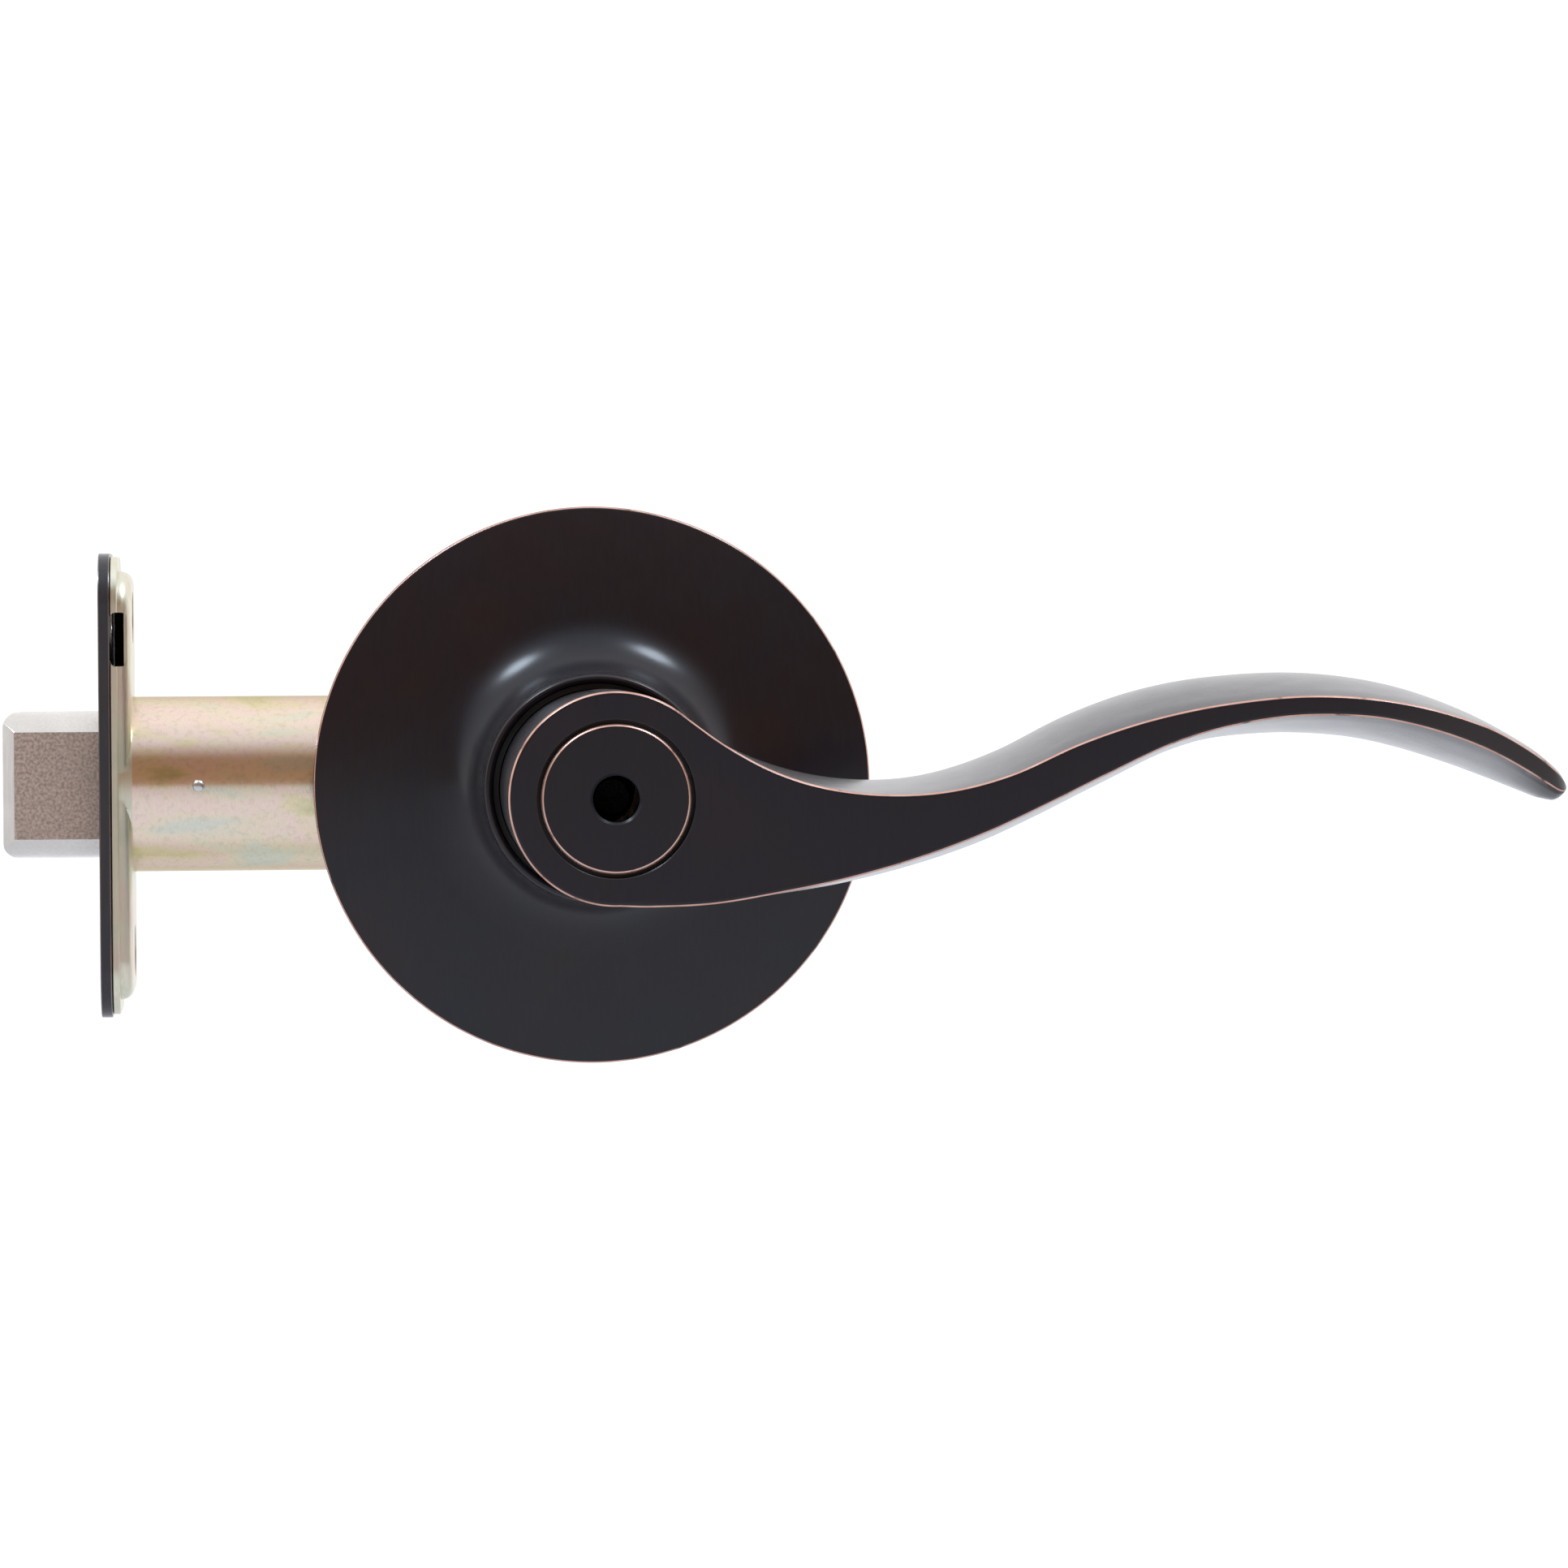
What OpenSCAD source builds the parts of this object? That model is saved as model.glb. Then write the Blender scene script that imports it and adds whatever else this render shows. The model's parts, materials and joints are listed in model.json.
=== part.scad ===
// Privacy door lever: outside lever and rose, spindle, and tubular spring latch.
//
// Origin: centre of the rose's back face, on the spindle axis, where the door's outside face is.
// +Z is up, -Y points out of the door towards the user, the lever points along +X and the
// latch lies along -X. "Out" distances below are measured from the door face along -Y.

/* [Door] */
// Thickness of the door that the set is fitted to
door_t = 34.9; // [34.9:0.1:36]
// Distance from the door's edge to the spindle axis
backset = 60; // [59.8:0.1:60.5]

/* [Rose] */
// Outside diameter of the rose
rose_d = 67.8; // [67:0.1:69]
// How far the rose's collar stands out of the door
rose_out = 19; // [18.5:0.1:20]
// Outside diameter of the collar
collar_d = 27.3; // [27.3:0.1:28]
// Thickness of the rose's sheet metal
rose_wall = 1; // [0.9:0.05:1]
// Height of the rose's plain edge
rose_edge = 2.4; // [2.4:0.1:2.8]

/* [Lever] */
// How far the lever's front face stands out of the door
lever_out = 60; // [59:0.5:62]
// Length from the spindle axis to the lever's tip
lever_len = 109.4; // [108:0.1:111]
// Diameter of the lever's round head
head_d = 24.4; // [24.2:0.1:24.6]
// Front-to-back depth of the blade
blade_depth = 25; // [23:0.5:26]
// Diameter of the disc set in the head
insert_d = 17.1; // [16.8:0.1:17.3]
// Diameter of the emergency release hole
release_hole_d = 5.3; // [5:0.1:5.5]
// Angle that the lever turns down
turn = 60; // [50:1:60]

/* [Spindle] */
// Width of the square spindle across its flats
spindle_w = 7.9; // [7.6:0.1:8]
// Spacing of the two threaded posts
post_spacing = 38.1; // [38:0.1:38.5]

/* [Latch] */
// Height of the faceplate
faceplate_h = 57.15; // [57:0.05:57.3]
// Width of the faceplate
faceplate_w = 25.4; // [25:0.1:25.6]
// Thickness of the faceplate
faceplate_t = 1.4; // [1.2:0.1:1.5]
// Outside diameter of the latch tube
tube_d = 21.7; // [21.5:0.1:21.8]
// How far the bolt stands out of the faceplate
bolt_out = 12; // [11.6:0.1:12.5]
// Height of the bolt
bolt_h = 18.2; // [17.8:0.1:18.2]
// Width of the bolt across its flats
bolt_w = 12.5; // [12:0.1:12.7]
// Spacing of the faceplate's screw holes
screw_spacing = 41.3; // [41:0.1:41.5]

/* [Hidden] */
$fn = 64;
eps = 0.01;
running = 0.06;         // radial clearance of a shaft that turns in its hole
fit = 0.05;             // clearance each side of two parts that are put together and stay so

// Rose and what it covers
rose_r = rose_d / 2;
collar_r = collar_d / 2;
dome_slope = 11;        // degrees that the rose's flat part rises towards the middle
flare_r = 9;            // radius of the hollow curve between the flat part and the collar
flare_r_axis = collar_r + flare_r;
flare_foot_r = flare_r_axis - flare_r * sin(dome_slope);
flare_foot_out = rose_edge + (rose_r - flare_foot_r) * tan(dome_slope);
flare_axis_out = flare_foot_out + flare_r * cos(dome_slope);
collar_bore_r = collar_r - rose_wall;
plate_back = 0.3;       // the plate sits this far inside the rose's back edge
plate_t = 1;
plate_front = plate_back + plate_t;
plate_r = rose_r - rose_wall - 0.1;
window_at = 24;
window_r = 4;

// Lever
head_r = head_d / 2;
neck_r = 11.8;          // part of the hub that turns inside the collar
neck_end = 14.5;
shoulder_out = rose_out + 1.2;
rotor_r = 8;
rotor_out = 34;
rotor_in = 8.9;
rotor_bore_r = 5.9;
socket_out = rotor_out + 0.2;
insert_t = 2.9;
insert_gap = 0.45;
tool_r = release_hole_d / 2;
core_r = 6;             // hollow between the socket and the disc
ledge_t = 0.1;          // room behind the disc
blade_start = 2;
tip_start = lever_len - 14.4;
face_curl_start = lever_len - 9.8;
face_curl = 5;          // how far the face curls back at the tip
back_end = 0.3;         // thickness of the blade's back edge, as a share of its full thickness
widest = 0.78;          // where the blade is thickest, as a share of its depth
set_screw_out = 25;
set_screw_r = 2.4;
set_screw_l = 3.3;

// Upper and lower edge of the lever's front face, as [along +X, height]
TOP_EDGE = [
    [1, 10.6], [7, 9.7], [12, 6.4], [18, 3], [24, 1.1], [31, 0.3], [38, 0.7],
    [45, 2.5], [53, 6], [61, 8.6], [70, 10.4], [80, 11.2], [90, 10.3], [99, 7.7], [lever_len, 1.4]
];
BOTTOM_EDGE = [
    [1, -11.4], [5, -12.3], [11, -12], [18, -10.9], [26, -9.3], [34, -7.1], [42, -4.2],
    [49, -1], [56, 2.4], [64, 6], [72, 8.1], [80, 8.9], [89, 8.2], [99, 5.1], [lever_len, -0.6]
];
// How far the blade swells above and below the edges of its front face
SWELL = [[1, 0], [20, 0.9], [32, 1.5], [45, 2.1], [60, 2.4], [78, 2.5], [92, 2.1], [lever_len, 0.8]];
STATIONS = 30;
TIP_STATIONS = 9;
FRONT_STEPS = 3;
BACK_STEPS = 5;
SIDE_STEPS = FRONT_STEPS + BACK_STEPS;

// Spring case behind the mounting plate
case_r = 15.3;
case_wall = 1.2;
case_in = 9.2;
lug_w = 3.6;
lug_r = 11;
lug_t = 1.4;
tab_clear = 0.3;        // between the lug and the case's fixed tab
rivet_z = 18.4;
rivet_r = 1.5;
ear_half_w = 3.4;
ear_t = 0.9;
ear_root_z = 13;
stop_angle = 20;        // the stops stand this far past the lever's own limit

// Threaded posts
post_x = post_spacing / 2;
post_r = 3.2;
post_neck_r = 2.8;      // where the post is riveted through the plate
post_in = 26;
post_hole_r = 1.65;
post_hole_depth = 18;

// Spindle and release rod
spindle_head_r = 5.7;
spindle_head_out = 10.5;
spindle_seat_out = 8;
spindle_in = 50;
rod_r = 2;
rod_out = 50;
rod_in = 53;
rod_collar_r = 3.4;
rod_collar_out = 34.1;
rod_collar_t = 1.5;
retainer_out = spindle_head_out + 0.1;
retainer_t = 0.8;
retainer_grip = 0.4;    // how far the retainer sits in its groove
snap_out = 2.3;
snap_t = 1;
snap_depth = 0.8;       // depth of the retaining ring's groove

// Latch: x runs from the door's edge (-backset) towards the spindle
latch_y = door_t / 2;
edge_x = -backset;
pan_front_x = edge_x + faceplate_t + 0.05;
sheet_t = 0.9;
pan_back_x = edge_x + 4;
tube_r = tube_d / 2;
tube_bore_r = 9.2;
tube_end_x = -27.5;
tube_l = tube_end_x - pan_back_x;
tube_rivet_x = -47.9;
nib_r = 0.5;
corner_r = 6.35;        // faceplate's corners
screw_hole_r = 2.4;
bolt_r = bolt_h / 2;
bolt_gap = 0.2;
bolt_tail_x = -52;
bolt_end_x = -47;
bolt_pin_x = -49.5;
bolt_pin_r = 1.2;
tail_half_w = 3.5;
tail_half_h = 6.7;
arm_len = bolt_out - 0.2;   // also the bolt's travel, because the arm swings evenly each side of upright
arm_lean = turn / 2;
arm_tip_r = 1.3;
arm_half_t = 1.9;
hub_r = 6.6;
hub_half = 5.1;
strip_low = 7.1;
strip_high = 8.3;
retractor_half_w = 3.6;
shoulder_half_w = 2.6;
shoulder_high = arm_len + 0.1;
shoulder_x = -arm_len * sin(arm_lean) + arm_tip_r + 0.15;
retractor_end_x = -1.2;
case_half_gap = 4.1;
case_plate_t = 1.1;
case_half_h = 11.5;
case_end_x = 25.5;
case_neck_x = -39.2;
case_neck_half = 7.2;
case_round_r = 26.3;    // fits the door's 54 mm cross bore
case_start_x = -26.5;
stop_x = -24.6;
spacer_r = 1.3;
SPACERS = [[-23.4, 9.95], [-23.4, -9.95], [22.2, 8.6], [22.2, -8.6]];

// ---------- shared helpers ----------

// Turns a shape so that its +Z points out of the door
module outwards() {
    rotate([90, 0, 0]) children();
}

// Turns a shape so that its +Z points into the door
module inwards() {
    rotate([-90, 0, 0]) children();
}

// Turns a shape so that its +Z points along +X, on the latch's axis
module along_latch(x) {
    translate([x, latch_y, 0]) rotate([0, 90, 0]) children();
}

// A ring or disc between two distances out of the door
module ring_out(r_outer, r_inner, low, high) {
    outwards() translate([0, 0, low]) linear_extrude(high - low) difference() {
        circle(r_outer);
        if (r_inner > 0) circle(r_inner);
    }
}

// A box from its low corner to its high corner
module box(low, high) {
    translate(low) cube(high - low);
}

// A flat plate with round corners, its thickness along +X
module rounded_plate(x, t, w, h, r) {
    along_latch(x) linear_extrude(t) union() {
        square([h - 2 * r, w], center = true);
        square([h, w - 2 * r], center = true);
        for (sx = [-1, 1], sy = [-1, 1])
            translate([sx * (h / 2 - r), sy * (w / 2 - r)]) circle(r);
    }
}

// Points of an arc in a profile
function arc(cx, cy, r, from, to, steps) = [
    for (i = [0 : steps]) let (a = from + (to - from) * i / steps)
        [cx + r * cos(a), cy + r * sin(a)]
];

// A smooth curve through a short list of points, read at x
function part_of(points, x, i = 0) =
    (i >= len(points) - 2 || x <= points[i + 1][0]) ? i : part_of(points, x, i + 1);
function slope_at(points, i) =
    let (a = max(i - 1, 0), b = min(i + 1, len(points) - 1))
    (points[b][1] - points[a][1]) / (points[b][0] - points[a][0]);
function smooth(points, x) =
    let (
        i = part_of(points, x),
        step = points[i + 1][0] - points[i][0],
        t = (x - points[i][0]) / step
    )
    (2 * t * t * t - 3 * t * t + 1) * points[i][1]
    + (t * t * t - 2 * t * t + t) * step * slope_at(points, i)
    + (3 * t * t - 2 * t * t * t) * points[i + 1][1]
    + (t * t * t - t * t) * step * slope_at(points, i + 1);

// A closed skin over equal rings of points
function skin_faces(rings, sides) = concat(
    [[for (j = [0 : sides - 1]) j]],
    [
        for (i = [0 : rings - 2], j = [0 : sides - 1]) let (k = (j + 1) % sides)
            [i * sides + k, i * sides + j, (i + 1) * sides + j, (i + 1) * sides + k]
    ],
    [[for (j = [sides - 1 : -1 : 0]) (rings - 1) * sides + j]]
);

// A coil spring along +Z; its end legs, if any, are added by its caller
module coil(mean_r, wire_r, length, turns, steps = 16, sides = 8) {
    count = ceil(turns * steps);
    points = [
        for (i = [0 : count], j = [0 : sides - 1])
            let (
                a = 360 * turns * i / count,
                b = -360 * j / sides,
                r = mean_r + wire_r * cos(b),
                z = wire_r + (length - 2 * wire_r) * i / count + wire_r * sin(b)
            )
            [r * cos(a), r * sin(a), z]
    ];
    polyhedron(points, skin_faces(count + 1, sides), convexity = 8);
}

// ---------- lever and what turns with it ----------

function face_y(x) =
    x <= face_curl_start ? -lever_out
    : -lever_out + face_curl
        * (1 - sqrt(max(0, 1 - pow((x - face_curl_start) / (lever_len - face_curl_start + 0.2), 2))));
function back_y(x) =
    let (end_y = face_y(lever_len) + 1, full_y = -lever_out + blade_depth)
    x <= tip_start ? full_y
    : end_y + (full_y - end_y) * sqrt(max(0, 1 - pow((x - tip_start) / (lever_len - tip_start), 2)));

function blade_station(i) =
    i < STATIONS ? blade_start + (tip_start - blade_start) * i / STATIONS
    : tip_start + (lever_len - tip_start) * sin(90 * (i - STATIONS) / TIP_STATIONS);

// Half the blade's thickness at u, the share of its depth: it swells, then rounds off at the back
function half_at(u, front_half, swell) =
    let (v = max(0, (u - widest) / (1 - widest)))
    (front_half + swell * sin(90 * min(1, u / widest)))
    * (back_end + (1 - back_end) * sqrt(max(0, 1 - v * v)));

SIDE_SHARES = concat(
    [for (s = [0 : FRONT_STEPS]) widest * s / FRONT_STEPS],
    [for (s = [1 : BACK_STEPS]) widest + (1 - widest) * sin(90 * s / BACK_STEPS)]
);

// One cross-section of the blade, from its flat front face to its rounded back
function blade_section(x) =
    let (
        top = smooth(TOP_EDGE, x),
        bottom = smooth(BOTTOM_EDGE, x),
        middle = (top + bottom) / 2,
        front = face_y(x),
        depth = back_y(x) - front,
        swell = smooth(SWELL, x) * min(1, depth / blade_depth + 0.1),
        halves = [for (u = SIDE_SHARES) half_at(u, (top - bottom) / 2, swell)]
    )
    concat(
        [for (s = [0 : SIDE_STEPS]) [x, front + depth * SIDE_SHARES[s], middle - halves[s]]],
        [for (s = [SIDE_STEPS : -1 : 0]) [x, front + depth * SIDE_SHARES[s], middle + halves[s]]]
    );

module blade() {
    count = STATIONS + TIP_STATIONS + 1;
    points = [for (i = [0 : count - 1]) each blade_section(blade_station(i))];
    polyhedron(points, skin_faces(count, 2 * SIDE_STEPS + 2), convexity = 6);
}

module lever() {
    color("#2b2524") difference() {
        union() {
            ring_out(head_r, 0, shoulder_out, lever_out);
            ring_out(neck_r, 0, neck_end, shoulder_out + eps);
            blade();
        }
        ring_out(insert_d / 2 + insert_gap, 0, lever_out - insert_t - ledge_t, lever_out + 1);
        ring_out(core_r, 0, socket_out - 1, lever_out - insert_t);
        ring_out(rotor_r + fit, 0, neck_end - 1, socket_out);
        translate([0, -set_screw_out, -head_r - 1]) cylinder(r = set_screw_r + 0.1, h = head_r);
    }
}

module lever_insert() {
    r = insert_d / 2;
    bevel = 0.3;
    color("#2d2829") outwards() translate([0, 0, lever_out - insert_t]) rotate_extrude() polygon([
        [tool_r, 0], [r, 0], [r, insert_t - bevel], [r - bevel, insert_t], [tool_r, insert_t]
    ]);
}

module set_screw() {
    key_r = 1.4;
    color("#3a3a3c") translate([0, -set_screw_out, -rotor_r - set_screw_l - 0.1]) difference() {
        cylinder(r = set_screw_r, h = set_screw_l);
        translate([0, 0, -eps]) cylinder(r = key_r, h = 1.8, $fn = 6);
    }
}

module rotor() {
    half_hole = spindle_w / 2 + fit;
    disc_in = 1.4;
    disc_out = 0.2;
    lug_in = 7.2;
    color("#b9b2a0") difference() {
        union() {
            ring_out(rotor_r, 0, -rotor_in, rotor_out);
            ring_out(lug_r, 0, -disc_in, disc_out);
            box([-lug_w / 2, -disc_out, 0], [lug_w / 2, disc_in, lug_r + lug_t]);
            box([-lug_w / 2, disc_in - eps, lug_r], [lug_w / 2, lug_in, lug_r + lug_t]);
        }
        ring_out(rotor_bore_r, 0, spindle_seat_out, rotor_out + 1);
        ring_out(rotor_bore_r + retainer_grip + fit, 0, retainer_out - fit, retainer_out + retainer_t + fit);
        ring_out(rotor_r + 1, rotor_r - snap_depth, snap_out - fit, snap_out + snap_t + fit);
        box([-half_hole, -spindle_seat_out - 1, -half_hole], [half_hole, rotor_in + 1, half_hole]);
    }
}

module spindle() {
    half = spindle_w / 2;
    color("#c9c7bf") difference() {
        union() {
            ring_out(spindle_head_r, 0, spindle_seat_out + 0.1, spindle_head_out);
            box([-half, -spindle_seat_out - 0.2, -half], [half, spindle_in, half]);
        }
        ring_out(rod_r + running, 0, -spindle_in - 1, spindle_head_out + 1);
    }
}

module spindle_retainer() {
    gap_half = 1.5;
    color("#55565a") difference() {
        ring_out(rotor_bore_r + retainer_grip, rotor_bore_r - 1.3, retainer_out, retainer_out + retainer_t);
        box([-gap_half, -retainer_out - 1, -rotor_r], [gap_half, -retainer_out + eps, 0]);
    }
}

module release_rod() {
    color("#6e6c68") {
        ring_out(rod_r, 0, -rod_in, rod_out);
        ring_out(rod_collar_r, 0, rod_collar_out - rod_collar_t, rod_collar_out);
    }
}

module release_spring() {
    length = rod_collar_out - rod_collar_t - spindle_head_out - 0.1;
    color("#8d8f92") outwards() translate([0, 0, spindle_head_out + 0.05])
        coil(2.85, 0.28, length, 9, steps = 14, sides = 6);
}

// ---------- rose and mounting plate ----------

module rose_cover() {
    rim = 0.4;
    edge_round = 0.8;
    outer = concat(
        [[rose_r, 0]],
        arc(rose_r - edge_round, rose_edge - edge_round, edge_round, 0, 90 - dome_slope, 4),
        arc(flare_r_axis, flare_axis_out, flare_r, 270 - dome_slope, 180, 12),
        arc(collar_r - rim, rose_out - rim, rim, 0, 90, 3)
    );
    inner = concat(
        [[collar_bore_r, rose_out]],
        arc(flare_r_axis, flare_axis_out, flare_r + rose_wall, 180, 270 - dome_slope, 12),
        [[rose_r - rose_wall, rose_edge - rose_wall], [rose_r - rose_wall, 0]]
    );
    color("#2a2424") outwards() rotate_extrude($fn = 128) polygon(concat(outer, inner));
}

module nylon_bushing() {
    top = rose_out - 1.4;
    color("#141414") {
        ring_out(collar_bore_r - 0.05, neck_r + running, neck_end - 1.3, top);
        ring_out(collar_bore_r - 0.05, rotor_r + 0.6, neck_end - 2.3, neck_end - 1.3 + eps);
    }
}

module thrust_washer() {
    color("#c8c4b8") ring_out(neck_r - 0.2, rotor_r + 0.5, neck_end - 1.1, neck_end - 0.2);
}

module mounting_plate() {
    color("#c3b27c") difference() {
        ring_out(plate_r, rotor_r + running, plate_back, plate_front);
        for (s = [-1, 1]) {
            translate([0, 0, s * rivet_z]) ring_out(rivet_r, 0, 0, 3);
            translate([s * post_x, 0, 0]) ring_out(post_neck_r + eps, 0, 0, 3);
        }
        // Lightening windows between the posts and the rivets
        for (a = [45 : 90 : 315])
            rotate([0, a, 0]) translate([window_at, 0, 0]) ring_out(window_r, 0, 0, 3);
    }
}

module threaded_posts() {
    color("#bdb58f") for (s = [-1, 1]) translate([s * post_x, 0, 0]) difference() {
        union() {
            ring_out(post_r, 0, -post_in, plate_back);
            ring_out(post_neck_r, 0, -1, plate_front + 0.5);
            ring_out(post_r + 0.6, 0, plate_front, plate_front + 0.8);
        }
        ring_out(post_hole_r, 0, -post_in - 1, -post_in + post_hole_depth);
    }
}

module plate_washer() {
    color("#d0cdc4") ring_out(12, rotor_r + 0.1, plate_front + 0.05, plate_front + 0.7);
}

module retaining_ring() {
    ring_r = 10.4;
    gap_half = 2;
    color("#4c4d50") difference() {
        ring_out(ring_r, rotor_r - snap_depth + fit, snap_out, snap_out + snap_t);
        box([-gap_half, -snap_out - snap_t - eps, -ring_r - 1], [gap_half, -snap_out + eps, 0]);
    }
}

module spring_case() {
    color("#c6b987") difference() {
        union() {
            difference() {
                union() {
                    ring_out(case_r, 0, -case_in, plate_back);
                    for (s = [-1, 1]) {
                        translate([0, 0, s * rivet_z]) ring_out(ear_half_w, 0, -ear_t, plate_back);
                        box([-ear_half_w, -plate_back, min(s * ear_root_z, s * rivet_z)],
                            [ear_half_w, ear_t, max(s * ear_root_z, s * rivet_z)]);
                    }
                }
                ring_out(case_r - case_wall, 0, -case_in + case_wall, 2);
            }
            // Fixed tab between the spring's legs
            box([-lug_w / 2, 1.8, lug_r + lug_t + tab_clear], [lug_w / 2, case_in - 1, case_r - 0.5]);
            // End stops for the rotor's lug
            for (s = [-1, 1])
                rotate([0, s * (turn + stop_angle), 0])
                    box([-lug_w / 2, -plate_back, lug_r + 0.4], [lug_w / 2, 1.5, case_r - 0.5]);
        }
        ring_out(rotor_r + running, 0, -case_in - 1, 0);
        for (s = [-1, 1])
            translate([0, 0, s * rivet_z]) ring_out(rivet_r, 0, -2, 2);
    }
}

module case_rivets() {
    color("#d2cfc6") for (s = [-1, 1]) translate([0, 0, s * rivet_z]) {
        ring_out(rivet_r, 0, -ear_t - 0.3, plate_front + 0.3);
        ring_out(2.6, 0, plate_front, plate_front + 0.9);
        ring_out(2.4, 0, -ear_t - 0.7, -ear_t);
    }
}

module return_spring() {
    wire_r = 0.6;
    mean_r = 9.4;
    low = 2.2;
    high = 7.4;
    leg_x = lug_w / 2 + wire_r + 0.1;
    start = acos(leg_x / mean_r);
    turns = 2 + (180 + 2 * start) / 360;
    color("#9a9ca0") {
        inwards() translate([0, 0, low]) rotate([0, 0, -start])
            coil(mean_r, wire_r, high - low, turns, steps = 30);
        for (leg = [[leg_x, low + wire_r], [-leg_x, high - wire_r]])
            translate([leg[0], leg[1], mean_r * sin(start) - 0.2]) cylinder(r = wire_r, h = 4.9);
    }
}

// ---------- latch: faceplate, tube and case ----------

// The bolt's outline: a round bar with two flats
module bolt_outline(gap) {
    intersection() {
        circle(bolt_r + gap);
        square([2 * bolt_r + 1, bolt_w + 2 * gap], center = true);
    }
}

module faceplate() {
    sink_r = 4.6;
    land = 0.35;
    color("#2a2526") difference() {
        rounded_plate(edge_x, faceplate_t, faceplate_w, faceplate_h, corner_r);
        along_latch(edge_x - 1) linear_extrude(faceplate_t + 2) bolt_outline(bolt_gap);
        for (s = [-1, 1]) along_latch(edge_x) translate([s * screw_spacing / 2, 0, 0]) {
            translate([0, 0, -1]) cylinder(r = screw_hole_r, h = faceplate_t + 2);
            translate([0, 0, -eps]) cylinder(r1 = sink_r, r2 = screw_hole_r, h = faceplate_t - land);
        }
    }
}

// Notch in the pan's side, next to the upper screw, with round corners at its inner end
module notch_outline() {
    low = 14.7;
    high = 21.3;
    corner = 0.7;
    start_x = pan_front_x + 0.1;
    end_x = pan_back_x - 0.5;
    translate([start_x, low]) square([end_x - corner - start_x, high - low]);
    translate([start_x, low + corner]) square([end_x - start_x, high - low - 2 * corner]);
    for (z = [low + corner, high - corner]) translate([end_x - corner, z]) circle(corner);
}

module backplate() {
    pan_w = 21.4;
    pan_h = 52.8;
    pan_depth = pan_back_x - pan_front_x;
    notch_depth = 1.5;
    pan_corner_r = 5;
    screw_clear_r = 3.2;
    color("#cfc6a4") difference() {
        union() {
            rounded_plate(pan_front_x, sheet_t, faceplate_w - 0.8, faceplate_h - 0.8, corner_r - 0.4);
            rounded_plate(pan_front_x, pan_depth, pan_w, pan_h, pan_corner_r);
        }
        difference() {
            rounded_plate(pan_front_x - 1, pan_depth + 1 - sheet_t,
                pan_w - 2 * sheet_t, pan_h - 2 * sheet_t, pan_corner_r - sheet_t);
            along_latch(pan_front_x) cylinder(r = tube_r, h = pan_depth);
        }
        along_latch(pan_front_x - 1) cylinder(r = tube_bore_r, h = pan_depth + 2);
        for (s = [-1, 1]) along_latch(pan_front_x - 1) translate([s * screw_spacing / 2, 0, 0])
            cylinder(r = screw_clear_r, h = pan_depth + 2);
        translate([0, latch_y - pan_w / 2 + notch_depth, 0])
            outwards() linear_extrude(pan_w / 2 + notch_depth) notch_outline();
    }
}

module latch_tube() {
    color("#c9b98a") difference() {
        along_latch(pan_back_x) cylinder(r = tube_r, h = tube_l, $fn = 96);
        along_latch(pan_back_x - 1) cylinder(r = tube_bore_r, h = tube_l + 2, $fn = 96);
        translate([tube_rivet_x, latch_y, 0]) ring_out(nib_r, 0, 0, tube_r + 1);
    }
}

module tube_rivet() {
    color("#e0dcd0") translate([tube_rivet_x, latch_y, 0]) {
        ring_out(nib_r, 0, tube_bore_r + 0.02, tube_r + 0.2);
        ring_out(nib_r + 0.25, 0, tube_r, tube_r + 0.35);
    }
}

// Outline of a case plate, in the door's plane
module case_outline() {
    intersection() {
        translate([case_start_x, -case_half_h]) square([case_end_x - case_start_x, 2 * case_half_h]);
        circle(case_round_r);
    }
    translate([case_neck_x, -case_neck_half]) square([case_start_x - case_neck_x + 1, 2 * case_neck_half]);
}

// One case plate; y is the side of it that faces into the door
module case_plate(y) {
    translate([0, y, 0]) outwards() linear_extrude(case_plate_t) difference() {
        case_outline();
        circle(hub_r + running);
        for (s = [-1, 1]) translate([s * post_x, 0]) circle(post_r + 0.3);
        for (p = SPACERS) translate(p) circle(spacer_r);
    }
}
module front_case_plate() {
    color("#c8bd93") case_plate(latch_y - case_half_gap);
}

module rear_case_plate() {
    color("#c8bd93") case_plate(latch_y + case_half_gap + case_plate_t);
}

module case_spacers() {
    half = case_half_gap + case_plate_t;
    color("#d5d2c8") for (p = SPACERS)
        translate([p[0], 0, p[1]]) ring_out(spacer_r, 0, -latch_y - half, -latch_y + half);
}

module spring_stop() {
    half_h = 6.6;
    t = 1.3;
    color("#b8ae88")
        box([stop_x, latch_y - case_half_gap, -half_h], [stop_x + t, latch_y + case_half_gap, half_h]);
}

// ---------- latch: moving parts ----------

// A cut through the bolt's whole height, from points [x, distance from the latch's middle]
module bolt_cut(points) {
    translate([0, latch_y, -bolt_r - 1]) linear_extrude(2 * bolt_r + 2) polygon(points);
}

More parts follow.
